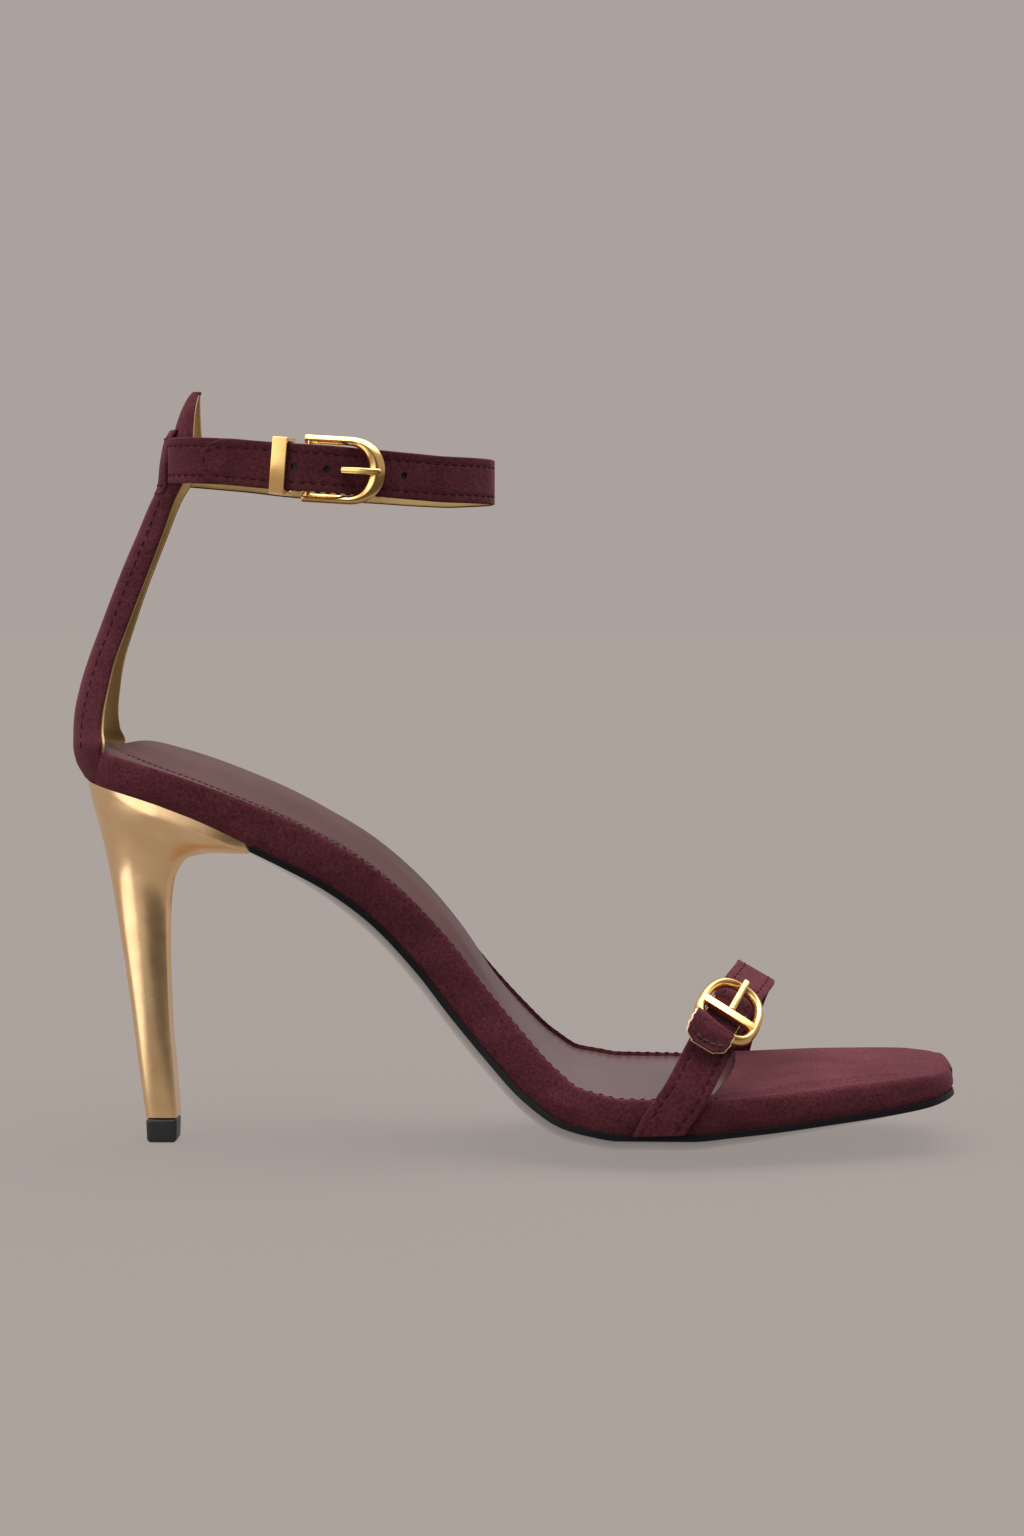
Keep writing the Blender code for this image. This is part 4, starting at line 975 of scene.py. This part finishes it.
def heel_point(row, angle):
    """A point of the heel's skin at a row of its table and an angle round it."""
    value = {name: through(HEEL_ROWS, HEEL_COLUMNS, name, row) for name in HEEL_COLUMNS[1:]}
    tip_half = TIP_LENGTH / 2
    floor = TIP_HEIGHT + GAP / 2
    tall = HEEL_RISE - TIP_HEIGHT
    back_x = -tip_half - value["back"] * (SEAT_OVERHANG - tip_half)
    front_x = tip_half + value["front"] * (LIP_REACH - tip_half)
    back_z = floor + value["back_rise"] * tall
    front_z = floor + value["front_rise"] * tall
    half = TIP_WIDTH / 2 + value["side"] * (HEEL_TOP_HALF - TIP_WIDTH / 2)
    ahead = np.cos(angle) > 0
    power = np.where(ahead, value["front_square"], value["back_square"])
    length = np.abs(np.cos(angle)) ** (2 / power) * np.sign(np.cos(angle))
    width = np.abs(np.sin(angle)) ** (2 / power) * np.sign(np.sin(angle))
    breast = cos(HEEL_ARRIS) ** (2 / power)
    length = np.where(ahead, np.minimum(length, breast) / breast, length)
    share = (length + 1) / 2
    x = back_x + (front_x - back_x) * share
    z = back_z + (front_z - back_z) * share
    hollow = BREAST_HOLLOW * ease(1.0, 8.0, row) * (1.0 - ease(9.6, 11.0, row))
    flat = np.clip(1 - (width / sin(HEEL_ARRIS) ** (2 / power)) ** 2, 0, 1)
    x = x - hollow * np.where(ahead, flat, 0.0)
    return np.stack(np.broadcast_arrays(x, width * half, z), axis=-1)


def make_heel():
    """The plated heel: a skin from the tip up to the sole's underside, which trims its top."""
    around, steps = HEEL_AROUND, 110
    angles = 2 * pi * (np.arange(around) + 0.5) / around
    search = np.linspace(0.0, 11.0, 500)
    columns = []
    for angle in angles:
        line = heel_point(search, np.full_like(search, angle))
        roof = sole_point(line[:, 0], line[:, 1], -GAP / 2)[:, 2]
        above = np.nonzero(line[:, 2] >= roof)[0]
        last = search[above[0]] if len(above) else 11.0
        rows = last * np.linspace(0.0, 1.0, steps) ** 0.9
        column = heel_point(rows, np.full_like(rows, angle))
        ends = sole_point(column[-1:, 0], column[-1:, 1], -GAP / 2)
        column[-1, 2] = ends[0, 2]
        columns.append(column)
    rings = np.transpose(np.array(columns), (1, 0, 2))
    heel = tube_shaped("heel_shell", rings)
    dress(heel, HEEL_GOLD, ["heel"], smooth=35.0)


def make_heel_tip():
    """The rubber tip: a rounded block that narrows a little to the floor."""
    where = Matrix.Translation((0.0, 0.0, TIP_HEIGHT / 2))
    tip = block("heel_tip", (TIP_LENGTH, TIP_WIDTH, TIP_HEIGHT), where)
    edit(tip, "DESELECT")
    leave_edit()
    for face in tip.data.polygons:
        face.select = face.normal.z < -0.5
    bpy.ops.object.mode_set(mode="EDIT")
    bpy.ops.transform.resize(value=(0.95, 0.95, 1.0))
    leave_edit()
    for edge in tip.data.edges:
        ends = [tip.data.vertices[k].co for k in edge.vertices]
        edge.select = abs(ends[0].z - ends[1].z) > TIP_HEIGHT / 2
    bpy.ops.object.mode_set(mode="EDIT")
    bpy.ops.mesh.select_mode(type="EDGE")
    bpy.ops.mesh.bevel(offset=1.1 * MM, segments=8)
    leave_edit()
    use_modifier(tip, "BEVEL", width=0.35 * MM, segments=3, limit_method="ANGLE")
    dress(tip, RUBBER, ["top_piece"])


# Heel stay and back loop

def make_stay():
    heights = np.concatenate([np.linspace(0.0, 0.93, 150), np.linspace(0.935, 1.0, 26)])
    outer = cradle("stay_suede", STAY_ROWS, 0.0, -STAY_SUEDE, heights)
    lining = cradle("stay_lining", STAY_ROWS, -STAY_SUEDE - 0.02 * MM, -STAY_WALL, heights[:-3])
    for piece in (outer, lining):
        cut(piece, sole_slab("below_sole", -20 * MM, 0.0, 8 * MM))
    dress(outer, SUEDE, ["ankle_upper"])
    dress(lining, LINING)
    loop_heights = np.linspace(LOOP_ROWS[0][0], LOOP_ROWS[-1][0], 40)
    dress(cradle("back_loop", LOOP_ROWS, 0.0, -LOOP_SUEDE, loop_heights), SUEDE)


def cradle_line(rows, heights, turn_share, out):
    """Points and facings down a stay or loop, at a share of its wrap."""
    back, length, width, wrap = stay_section(rows, heights)
    angle = np.radians(wrap) * turn_share
    x = back + length - (length + out) * np.cos(angle)
    y = (width + out) * np.sin(angle)
    line = np.stack([x, y, STAY_BASE_Z + heights * STAY_HEIGHT], axis=-1)
    facing = np.stack([-np.cos(angle), np.sin(angle), np.zeros_like(angle)], axis=-1)
    return line, facing


def make_stay_stitches():
    heights = np.linspace(0.13, 0.74, 300)
    for name, share in (("stay_stitches_lateral", -0.62), ("stay_stitches_medial", 0.62)):
        line, facing = cradle_line(STAY_ROWS, heights, share, 0.02 * MM)
        stitched(name, line, facing, THREAD, size=STAY_STITCH)
    for name, share in (("lining_stitches_lateral", -0.66), ("lining_stitches_medial", 0.66)):
        line, facing = cradle_line(STAY_ROWS, np.linspace(0.16, 0.97, 300), share, -STAY_WALL)
        stitched(name, line, -facing, GOLD_THREAD, size=LINING_STITCH)
    for name, height in (("loop_stitches_low", 0.772), ("loop_stitches_high", 0.884)):
        shares = np.linspace(-0.93, 0.93, 60)
        line, facing = cradle_line(LOOP_ROWS, np.full(60, height), shares, 0.03 * MM)
        stitched(name, line, facing, THREAD, size=STAY_STITCH)


# Ankle strap

def ankle_spot(turn, side, lift):
    """The ankle strap's middle line and its outward facing."""
    def base(at):
        return np.stack([
            ANKLE_BACK_X + through(ANKLE_ROWS, ANKLE_COLUMNS, "length", at) * ANKLE_LENGTH,
            side * through(ANKLE_ROWS, ANKLE_COLUMNS, "width", at) * ANKLE_HALF_WIDTH,
            ANKLE_BACK_Z - through(ANKLE_ROWS, ANKLE_COLUMNS, "drop", at) * ANKLE_DROP,
        ], axis=-1)

    step = 0.012
    run = base(np.clip(turn + step, 0.0, 1.0)) - base(np.clip(turn - step, 0.0, 1.0))
    face = np.stack([-run[..., 1], run[..., 0], np.zeros_like(run[..., 0])], axis=-1)
    face = unit(face) * np.asarray(side)[..., None]
    face[turn < step] = (-1.0, 0.0, 0.0)
    face[turn > 1.0 - step] = (1.0, 0.0, 0.0)
    return base(turn) + face * np.asarray(lift)[..., None], face


def free_end_lift(turn):
    return through(LIFT_ROWS, LIFT_COLUMNS, "lift", turn) * STRAP_THICKNESS


def strap_route():
    """The strap's line from the bar round the back, the inside and the front to its free end."""
    near = np.linspace(BAR_AT - BAR_LAP, 0.0, 70, endpoint=False)
    far = np.linspace(0.0, 1.0, 150)
    front = np.linspace(1.0, TIP_AT + TIP_ROUNDING, 150)[1:]
    tip_share = np.sin(np.linspace(0.0, pi / 2, 16))[1:] * 0.992
    tip = TIP_AT + TIP_ROUNDING * (1 - tip_share)
    turn = np.concatenate([near, far, front, tip])
    side = np.concatenate([-np.ones(70), np.ones(150), -np.ones(149 + len(tip))])
    lift = np.concatenate([np.zeros(220), free_end_lift(front), np.full(len(tip), free_end_lift(TIP_AT))])
    share = np.concatenate([np.ones(369), np.sqrt(1 - tip_share**2)])
    spots, faces = ankle_spot(turn, side, lift)
    return spots, faces, share


def run_of(spots):
    return unit(np.gradient(spots, axis=0))


def ribbon(name, spots, faces, shares, width, low, high, groove=0.0):
    """A strap between two offsets along its facing, with round edges and sewn-down grooves."""
    run = run_of(spots)
    face = square_to(run, faces)
    across = np.cross(run, face)
    deep = (high - low) / 2
    middle = (high + low) / 2
    rings = []
    for k in range(len(spots)):
        half = width / 2 * shares[k]
        round_in = min(deep, half * 0.5)
        flat = np.linspace(-(half - round_in), half - round_in, 33)
        seam = width / 2 - STITCH_INSET
        sunk = groove * np.exp(-((np.abs(flat) - seam) / (0.35 * MM)) ** 2)
        arc = np.linspace(pi / 2, -pi / 2, 9)[1:-1]
        a = np.concatenate([
            flat, half - round_in + round_in * np.cos(arc), flat[::-1],
            -(half - round_in) - round_in * np.cos(arc)])
        b = np.concatenate([
            np.full(33, deep) - sunk, deep * np.sin(arc), np.full(33, -deep), -deep * np.sin(arc)])
        rings.append(spots[k] + across[k] * a[:, None] + face[k] * (middle + b)[:, None])
    return tube_shaped(name, np.array(rings))


def beside(spots, faces, across_by, out):
    run = run_of(spots)
    face = square_to(run, faces)
    return spots + np.cross(run, face) * across_by + face * out


def hole_rods(name, low, high, diameter):
    """A rod through the free end at each punched hole."""
    rods = []
    for turn in HOLE_TURNS:
        at = np.array([turn])
        spot, face = ankle_spot(at, -np.ones(1), free_end_lift(at))
        spot, face = Vector(spot[0]), Vector(face[0])
        rods.append(rod(name, spot + face * low, spot + face * high, diameter, 24))
    return rods


def sewn(names, spots, faces, out, shown, size, turned=1.0):
    """Two rows of stitches along a strap, one on each side of its middle."""
    seam = STRAP_WIDTH / 2 - STITCH_INSET
    for name, by in zip(names, (seam, -seam)):
        line = beside(spots, faces, by, out)[shown]
        stitched(name, line, faces[shown] * turned, THREAD, size=size)


def make_ankle_strap():
    spots, faces, shares = strap_route()
    half = STRAP_THICKNESS / 2
    split = half - STRAP_SUEDE
    outer = ribbon("ankle_strap", spots, faces, shares, STRAP_WIDTH, split, half, SEAM_GROOVE)
    inner = ribbon("ankle_strap_lining", spots[:-1], faces[:-1], shares[:-1],
                   STRAP_WIDTH - LINING_INSET, -half, split - 0.02 * MM)
    for piece, surface in ((outer, SUEDE), (inner, LINING)):
        cut(piece, *hole_rods("punch", -1.2 * MM, 1.2 * MM, HOLE_DIAMETER))
        dress(piece, surface)
    # Dark discs inside the strap at the bottom of each punched hole: painted shade for the hole's dark
    # depth
    shade_discs = hole_rods("hole_shade", -0.45 * MM, -0.1 * MM, HOLE_DIAMETER + 0.2 * MM)
    dress(joined("hole_shade_discs", shade_discs), DARK_THREAD_AND_HOLE_SHADE)
    sewn(("strap_stitches_low", "strap_stitches_high"), spots, faces,
         half - STITCH_SUNK, slice(6, 369), STRAP_STITCH)
    sewn(("lining_seam_low", "lining_seam_high"), spots, faces,
         -half + 0.02 * MM, slice(80, 369), LINING_STITCH, -1.0)
    tip = slice(366, None)
    share = shares[tip][:, None]
    run = run_of(spots)[tip]
    middle = beside(spots, faces, 0.0, half - 0.08 * MM)[tip] - run * STITCH_INSET * 0.8 * (1 - share)
    out = np.cross(run, faces[tip]) * share * (STRAP_WIDTH / 2 - STITCH_INSET)
    line = np.concatenate([middle + out, (middle - out)[::-1]])
    facings = np.concatenate([faces[tip], faces[tip][::-1]])
    stitched("tip_stitches", line, facings, THREAD, size=STAY_STITCH)


# Buckles

def axes_at(origin, forward, facing):
    """Placement with X along forward, Z along facing and Y across."""
    x_axis = Vector(forward).normalized()
    facing = Vector(facing)
    z_axis = (facing - x_axis * facing.dot(x_axis)).normalized()
    turn = Matrix((x_axis, z_axis.cross(x_axis), z_axis)).transposed().to_4x4()
    return Matrix.Translation(Vector(origin)) @ turn


def half_round(length, height, start, steps, power=2.0):
    angle = np.linspace(pi / 2, -pi / 2, steps + 1)
    along = np.abs(np.cos(angle)) ** (2 / power)
    rise = np.abs(np.sin(angle)) ** (2 / power) * np.sign(np.sin(angle))
    return np.stack([start + length * along, height * rise], axis=-1)


# A buckle's cross-section: share of the way in from its outer edge, and height in half depths
FLAT_RIM = (
    (0.10, -1.00), (0.02, -0.90), (0.00, -0.70), (0.00, -0.10), (0.05, 0.10), (0.30, 0.72), (0.44, 0.95),
    (0.52, 1.00), (0.60, 0.95), (0.80, 0.62), (0.97, 0.22), (1.00, 0.05), (1.00, -0.70), (0.98, -0.90),
    (0.90, -1.00),
)


def banded(name, outer, inner, depth, section, closed=False):
    """A buckle's band between two outlines, with one section all the way."""
    rings = []
    for out, into in zip(outer, inner):
        ring = []
        for share, height in section:
            x, y = out + (into - out) * share
            ring.append((x, y, height * depth / 2))
        rings.append(ring)
    if closed:
        rings.append(rings[0])
    return tube_shaped(name, np.array(rings), closed_ends=not closed)


def ankle_buckle_place():
    bar, bar_face = ankle_spot(np.array([BAR_AT]), -np.ones(1), BAR_LIFT * np.ones(1))
    curve, curve_face = ankle_spot(np.array([CURVE_AT]), -np.ones(1), CURVE_LIFT * np.ones(1))
    return axes_at(bar[0], curve[0] - bar[0], bar_face[0] + curve_face[0])


def make_ankle_buckle():
    here = ankle_buckle_place()
    straight = FRAME_LENGTH * 0.52
    arm = np.linspace(-FRAME_ARM_END, straight, 14)[:-1]
    outlines = []
    for half, reach in ((FRAME_HALF_HEIGHT, FRAME_LENGTH),
                        (FRAME_HALF_HEIGHT - FRAME_ARM, FRAME_LENGTH - FRAME_CURVE)):
        outlines.append(np.concatenate([
            np.stack([arm, np.full(13, half)], -1),
            half_round(reach - straight, half, straight, 90, 2.15),
            np.stack([arm[::-1], np.full(13, -half)], -1)]))
    band = banded("ankle_buckle", *outlines, FRAME_DEPTH, FLAT_RIM)
    use_modifier(band, "BEVEL", width=0.18 * MM, segments=2, limit_method="ANGLE", angle_limit=radians(60))
    band.data.transform(here)
    bar_half = Vector((0.0, FRAME_HALF_HEIGHT - FRAME_ARM / 2, 0.0))
    bar = rod("bar", here @ -bar_half, here @ bar_half, BAR_DIAMETER)
    whole = joined("ankle_buckle", [band, bar])
    dress(whole, BUCKLE_GOLD, ["ankle_buckle_frame"], smooth=METAL_SMOOTH)


def prong(name, here, root, rows, seat, rest, diameter):
    """A flat-topped prong along its line, narrowing to its tip."""
    reach = np.array([root] + [seat * row[0] for row in rows])
    rise = np.array([0.1 * rest] + [rest * row[1] for row in rows])
    at = np.linspace(reach[0], reach[-1], 50)
    height = np.interp(at, reach, rise)
    kernel = np.ones(5) / 5
    height = np.convolve(np.pad(height, 2, mode="edge"), kernel, mode="valid")
    angles = np.linspace(0.0, 2 * pi, 25)[:-1]
    ends = np.minimum(np.minimum((at - at[0]), (at[-1] - at)) / (0.35 * MM), 1.0)
    size = diameter / 2 * (0.72 + 0.28 * np.sqrt(ends)) * (1.0 - 0.14 * (at - at[0]) / (at[-1] - at[0]))
    wide = np.sign(np.cos(angles)) * np.abs(np.cos(angles)) ** 0.55
    tall = np.sign(np.sin(angles)) * np.abs(np.sin(angles)) ** 0.55
    rings = []
    for spot, level, radius in zip(at, height, size):
        ring = np.stack([np.full(24, spot), radius * wide, level + radius * tall], axis=-1)
        rings.append(ring)
    piece = tube_shaped(name, np.array(rings))
    piece.data.transform(here)
    return piece


def make_ankle_prong():
    here = ankle_buckle_place()
    rest = FRAME_DEPTH / 2 + GAP + PRONG_DIAMETER / 2
    root = BAR_DIAMETER / 2 + 0.4 * MM
    tongue = prong("ankle_prong_tongue", here, root, ANKLE_PRONG_ROWS, FRAME_LENGTH - FRAME_CURVE,
                   rest - 0.15 * MM, PRONG_DIAMETER)
    half = Vector((0.0, PRONG_DIAMETER * 0.6, 0.0))
    ring = rod("ring", here @ -half, here @ half, BAR_DIAMETER + 1.6 * MM)
    use_modifier(ring, "BEVEL", width=0.2 * MM, segments=3, limit_method="ANGLE")
    dress(joined("ankle_prong_tongue", [tongue, ring]), BUCKLE_GOLD, ["ankle_prong"])


def sink_top(piece, rim, depth):
    """Frame the upper face of a block and lower its middle a little."""
    for face in piece.data.polygons:
        face.select = face.normal.z > 0.5
    select_only(piece)
    bpy.ops.object.mode_set(mode="EDIT")
    bpy.ops.mesh.select_mode(type="FACE")
    bpy.ops.mesh.inset(thickness=rim)
    bpy.ops.transform.translate(value=(0.0, 0.0, -depth))
    leave_edit()


def make_keeper():
    """The keeper: a flat band with a framed, plain front."""
    low = -STRAP_THICKNESS / 2 - GAP - KEEPER_WALL
    at = np.array([KEEPER_AT, KEEPER_AT + KEEPER_REACH])
    high = float(free_end_lift(at[1])) + STRAP_THICKNESS / 2 + GAP + KEEPER_WALL
    spots, faces = ankle_spot(at, -np.ones(2), np.full(2, (low + high) / 2))
    here = axes_at(spots[0], spots[1] - spots[0], faces[0])
    size = (KEEPER_WIDTH, KEEPER_HEIGHT, high - low)
    keeper = block("keeper", size, Matrix.Identity(4))
    sink_top(keeper, 0.55 * MM, 0.16 * MM)
    way = (KEEPER_WIDTH * 3, KEEPER_HEIGHT - 2 * KEEPER_WALL, high - low - 2 * KEEPER_WALL)
    cut(keeper, block("keeper_way", way, Matrix.Identity(4), bevel=0.5 * MM))
    use_modifier(keeper, "BEVEL", width=0.22 * MM, segments=3,
                 limit_method="ANGLE", angle_limit=radians(35))
    keeper.data.transform(here)
    dress(keeper, BUCKLE_GOLD, ["ankle_keeper"])


# Toe strap

def toe_spot(along, lift):
    """The toe strap's middle line and its facing."""
    def base(at):
        x = TOE_BASE_X + through(TOE_ROWS, TOE_COLUMNS, "length", at) * SOLE_LENGTH
        width = through(TOE_ROWS, TOE_COLUMNS, "width", at)
        wall = np.abs(outline(along_at(x), np.where(width < 0, -1, 1))[1])
        height = through(TOE_ROWS, TOE_COLUMNS, "height", at)
        return np.stack([x, width * (wall + GAP + STRAP_THICKNESS / 2), height * TOE_CREST_Z], axis=-1)

    step = 0.01
    run = base(np.clip(along + step, 0.0, 1.0)) - base(np.clip(along - step, 0.0, 1.0))
    run = unit(run)
    face = np.cross(square_to(run, TOE_ACROSS), run)
    return base(along) + face * lift, face


def trim_below_sole(piece):
    edit(piece)
    along = float(along_at(TOE_BASE_X + 9.0 * MM))
    level = float(edge_level(along)) + 0.1 * MM
    bpy.ops.mesh.bisect(plane_co=(TOE_BASE_X + 9.0 * MM, 0.0, level), plane_no=(-0.03, 0.0, 1.0),
                        use_fill=True, clear_inner=True)
    leave_edit()


def make_toe_strap():
    along = np.linspace(0.0, 1.0, 240)
    spots, faces = toe_spot(along, 0.0)
    half = STRAP_THICKNESS / 2
    for name, width, low, high, groove, stands_for in (
            ("toe_strap_suede", TOE_STRAP_WIDTH, -half + 0.45 * MM, half, SEAM_GROOVE, ["toe_strap"]),
            ("toe_strap_lining", TOE_STRAP_WIDTH - LINING_INSET, -half, -half + 0.43 * MM, 0.0, ())):
        piece = ribbon(name, spots, faces, np.ones(len(along)), width, low, high, groove)
        trim_below_sole(piece)
        dress(piece, SUEDE, stands_for)
    seam = TOE_STRAP_WIDTH / 2 - STITCH_INSET
    shown = (along > 0.085) & (along < 0.95)
    for name, by in (("toe_stitches_front", seam), ("toe_stitches_back", -seam)):
        line = beside(spots, faces, by, half - STITCH_SUNK)
        stitched(name, line[shown], faces[shown], THREAD, size=STRAP_STITCH)


def toe_end_spots(along):
    """The loose end's line: under the bar, up over the frame's lower side, then drooping."""
    past = TOE_BAR_AT - along
    over = TOE_END_THICKNESS + 2 * GAP + TOE_FRAME_BAND
    rise = over * ease(0.018, 0.040, past) - 1.1 * MM * ease(0.048, TOE_END_BELOW, past)
    lift = STRAP_THICKNESS / 2 + GAP / 2 + TOE_END_THICKNESS / 2 + rise
    spots, faces = toe_spot(along, 0.0)
    aside = -0.5 * MM - 1.6 * MM * ease(0.0, 0.04, past)
    return spots + faces * lift[:, None] + aside[:, None] * TOE_ACROSS, faces


def make_toe_strap_end():
    """The loose end over the buckle's frame, with its pinked edge, pale raw lip and sewn arc."""
    low, high = TOE_BAR_AT - TOE_END_BELOW, TOE_BAR_AT + TOE_END_ABOVE
    along = np.linspace(low, high, 130)
    spots, faces = toe_end_spots(along)
    corner = np.clip((along - low) / 0.026, 0.0, 1.0)
    rounded = np.maximum((1 - (1 - corner) ** 3.2) ** (1 / 2.4), 0.55)
    narrow = 0.80 + 0.20 * ease(0.016, 0.034, TOE_BAR_AT - along)
    scallop = 1.0 + 0.020 * np.sin(along * 2 * pi / 0.0125)
    shares = rounded * narrow * scallop
    half = TOE_END_THICKNESS / 2
    top = ribbon("toe_end_suede", spots, faces, shares, TOE_STRAP_WIDTH, -half * 0.3, half)
    lip = ribbon("toe_end_lip", spots, faces, shares, TOE_STRAP_WIDTH + 0.7 * MM, -half, -half * 0.32)
    dress(top, SUEDE, ["toe_strap_end"])
    dress(lip, RAW_EDGE)
    across = np.linspace(-0.82, 0.82, 40)
    arc_along = low + 0.0095 + 0.014 * np.abs(across) ** 3
    arc, arc_faces = toe_end_spots(arc_along)
    run = run_of(toe_end_spots(np.linspace(low, low + 0.02, 40))[0])
    side = np.cross(run, arc_faces)
    arc = arc + side * (across * TOE_STRAP_WIDTH / 2)[:, None] + arc_faces * (half + 0.04 * MM)
    stitched("toe_end_stitches", arc, arc_faces, DARK_THREAD_AND_HOLE_SHADE, pitch=1.7 * MM, size=0.85)


def toe_buckle_place():
    lift = STRAP_THICKNESS / 2 + GAP + TOE_END_THICKNESS + GAP + TOE_FRAME_BAND / 2
    spots, faces = toe_spot(np.array([TOE_BAR_AT - 0.01, TOE_BAR_AT, TOE_BAR_AT + 0.01]), lift)
    return axes_at(spots[1], spots[2] - spots[0], faces[1])


def toe_frame_outline(inset):
    half = TOE_FRAME_HALF - inset
    upper = half_round(TOE_FRAME_UP - inset, half, 0.0, 70, 2.5)
    lower = half_round(TOE_FRAME_DOWN - inset, half, 0.0, 60, 2.8)
    lower = lower[::-1][1:-1] * np.array([-1.0, 1.0])
    return np.concatenate([upper, lower])


def make_toe_buckle():
    here = toe_buckle_place()
    band = banded("toe_buckle", toe_frame_outline(0.0), toe_frame_outline(TOE_FRAME_BAND),
                  TOE_FRAME_BAND, FLAT_RIM, closed=True)
    bar_size = (TOE_BAR_WIDTH, 2 * TOE_FRAME_HALF - TOE_FRAME_BAND, TOE_FRAME_BAND * 0.8)
    bar = block("bar", bar_size, Matrix.Identity(4))
    sink_top(bar, 0.42 * MM, 0.18 * MM)
    use_modifier(bar, "BEVEL", width=0.14 * MM, segments=2, limit_method="ANGLE")
    bar.data.transform(Matrix.Translation((0.0, 0.0, 0.35 * MM)))
    whole = joined("toe_buckle", [band, bar])
    whole.data.transform(here)
    dress(whole, BUCKLE_GOLD, ["toe_buckle_frame"], smooth=METAL_SMOOTH)
    rest = TOE_FRAME_BAND / 2 + GAP + TOE_PRONG_DIAMETER / 2
    tongue = prong("toe_prong_tongue", here, TOE_BAR_WIDTH / 2 - 0.3 * MM, TOE_PRONG_ROWS,
                   TOE_FRAME_UP - TOE_FRAME_BAND, rest - 0.2 * MM, 1.2 * TOE_PRONG_DIAMETER)
    dress(tongue, BUCKLE_GOLD, ["toe_prong"])


# Studio

BACKDROP = (0.407, 0.361, 0.337)
FLOOR_GLOW = 0.75
FLOOR_ALBEDO = 0.115
SKY = 0.45

# Soft lamps in the sky: direction, outer and inner half angle, and power
LAMPS = (
    ((0.10, 0.05, 1.0), 52, 26, 4.2),
    ((-0.84, -0.52, 0.08), 48, 20, 1.55),
    ((0.86, 0.42, 0.25), 30, 12, 0.35),
)


def toward(world, direction, outer, inner):
    """1 inside a soft-edged lamp seen in a direction, 0 outside it."""
    facing = node(world, "TexCoord", {}).outputs["Generated"]
    sides = {0: facing, 1: Vector(direction).normalized()}
    dot = node(world, "VectorMath", sides, operation="DOT_PRODUCT").outputs["Value"]
    return between(world, dot, cos(radians(outer)), cos(radians(inner)))


def make_stage():
    """A pale floor that meets the backdrop without a line, and soft lamps all round."""
    floor = primitive("plane", "studio_floor", size=60.0)
    made = new_finish("studio_floor")
    # A dark flag that only the metal mirrors, in front of the heel and to its right
    right = between(made, place_on(made, "X"), -0.055, -0.015)
    ahead = between(made, place_on(made, "Y"), -0.08, -0.13)
    mirrored = node(made, "LightPath", {}).outputs["Is Glossy Ray"]
    unlit = reckon(made, "MULTIPLY", reckon(made, "MULTIPLY", right, ahead), mirrored)
    glow = node(made, "MapRange", {"Value": unlit, "To Min": FLOOR_GLOW, "To Max": 0.0})
    shade(made, {
        "Base Color": tuple(FLOOR_ALBEDO * share for share in BACKDROP), "Roughness": 1.0,
        "Specular IOR Level": 0.0, "Emission Color": BACKDROP, "Emission Strength": glow.outputs["Result"]})
    floor.data.materials.append(made)

    world = bpy.data.worlds.new("studio")
    bpy.context.scene.world = world
    world.use_nodes = True
    seen = world.node_tree.nodes["Background"]
    put(seen.inputs["Color"], BACKDROP, world)
    glow = SKY
    for direction, outer, inner, power in LAMPS:
        glow = reckon(world, "MULTIPLY_ADD", toward(world, direction, outer, inner), power, glow)
    shadow = reckon(world, "MULTIPLY_ADD", toward(world, (0.16, -0.98, -0.05), 36, 14), -0.82, 1.0)
    total = reckon(world, "MULTIPLY", glow, shadow)
    light = node(world, "Background", {"Color": (1.0, 0.98, 0.96), "Strength": total})
    by_eye = node(world, "LightPath", {}).outputs["Is Camera Ray"]
    mix = node(world, "MixShader", {
        "Fac": by_eye, 1: light.outputs["Background"], 2: seen.outputs["Background"]})
    put(world.node_tree.nodes["World Output"].inputs["Surface"], mix.outputs["Shader"], world)


def make_card():
    """A bright card on the floor, out of the camera's sight, for the heel to mirror."""
    lamp = bpy.data.lights.new("bright_card", "AREA")
    lamp.shape = "RECTANGLE"
    lamp.size, lamp.size_y = 0.34, 0.24
    lamp.energy = 0.30
    bright = bpy.data.objects.new("bright_card", lamp)
    bpy.context.scene.collection.objects.link(bright)
    bright.location = (-0.225, -0.17, 0.002)
    bright.rotation_euler = (pi, 0.0, 0.0)
    bright.visible_camera = False


def make_camera():
    lens = bpy.data.cameras.new("camera")
    lens.sensor_fit = "VERTICAL"
    lens.sensor_height = 36.0
    lens.lens = 65.6
    lens.clip_start, lens.clip_end = 0.05, 100.0
    camera = bpy.data.objects.new("camera", lens)
    bpy.context.scene.collection.objects.link(camera)
    camera.location = (0.1077, -0.700, 0.1315)
    aim = Vector((0.0882, 0.0, 0.0945))
    camera.rotation_euler = (aim - camera.location).to_track_quat("-Z", "Y").to_euler()
    bpy.context.scene.camera = camera
    bpy.context.scene.view_settings.view_transform = "Standard"


make_camera()
make_stage()
make_card()
make_platform()
make_outsole()
make_footbed()
make_sock_seams()
make_heel()
make_heel_tip()
make_stay()
make_stay_stitches()
make_ankle_strap()
make_ankle_buckle()
make_ankle_prong()
make_keeper()
make_toe_strap()
make_toe_strap_end()
make_toe_buckle()
bpy.data.objects.remove(STITCH)
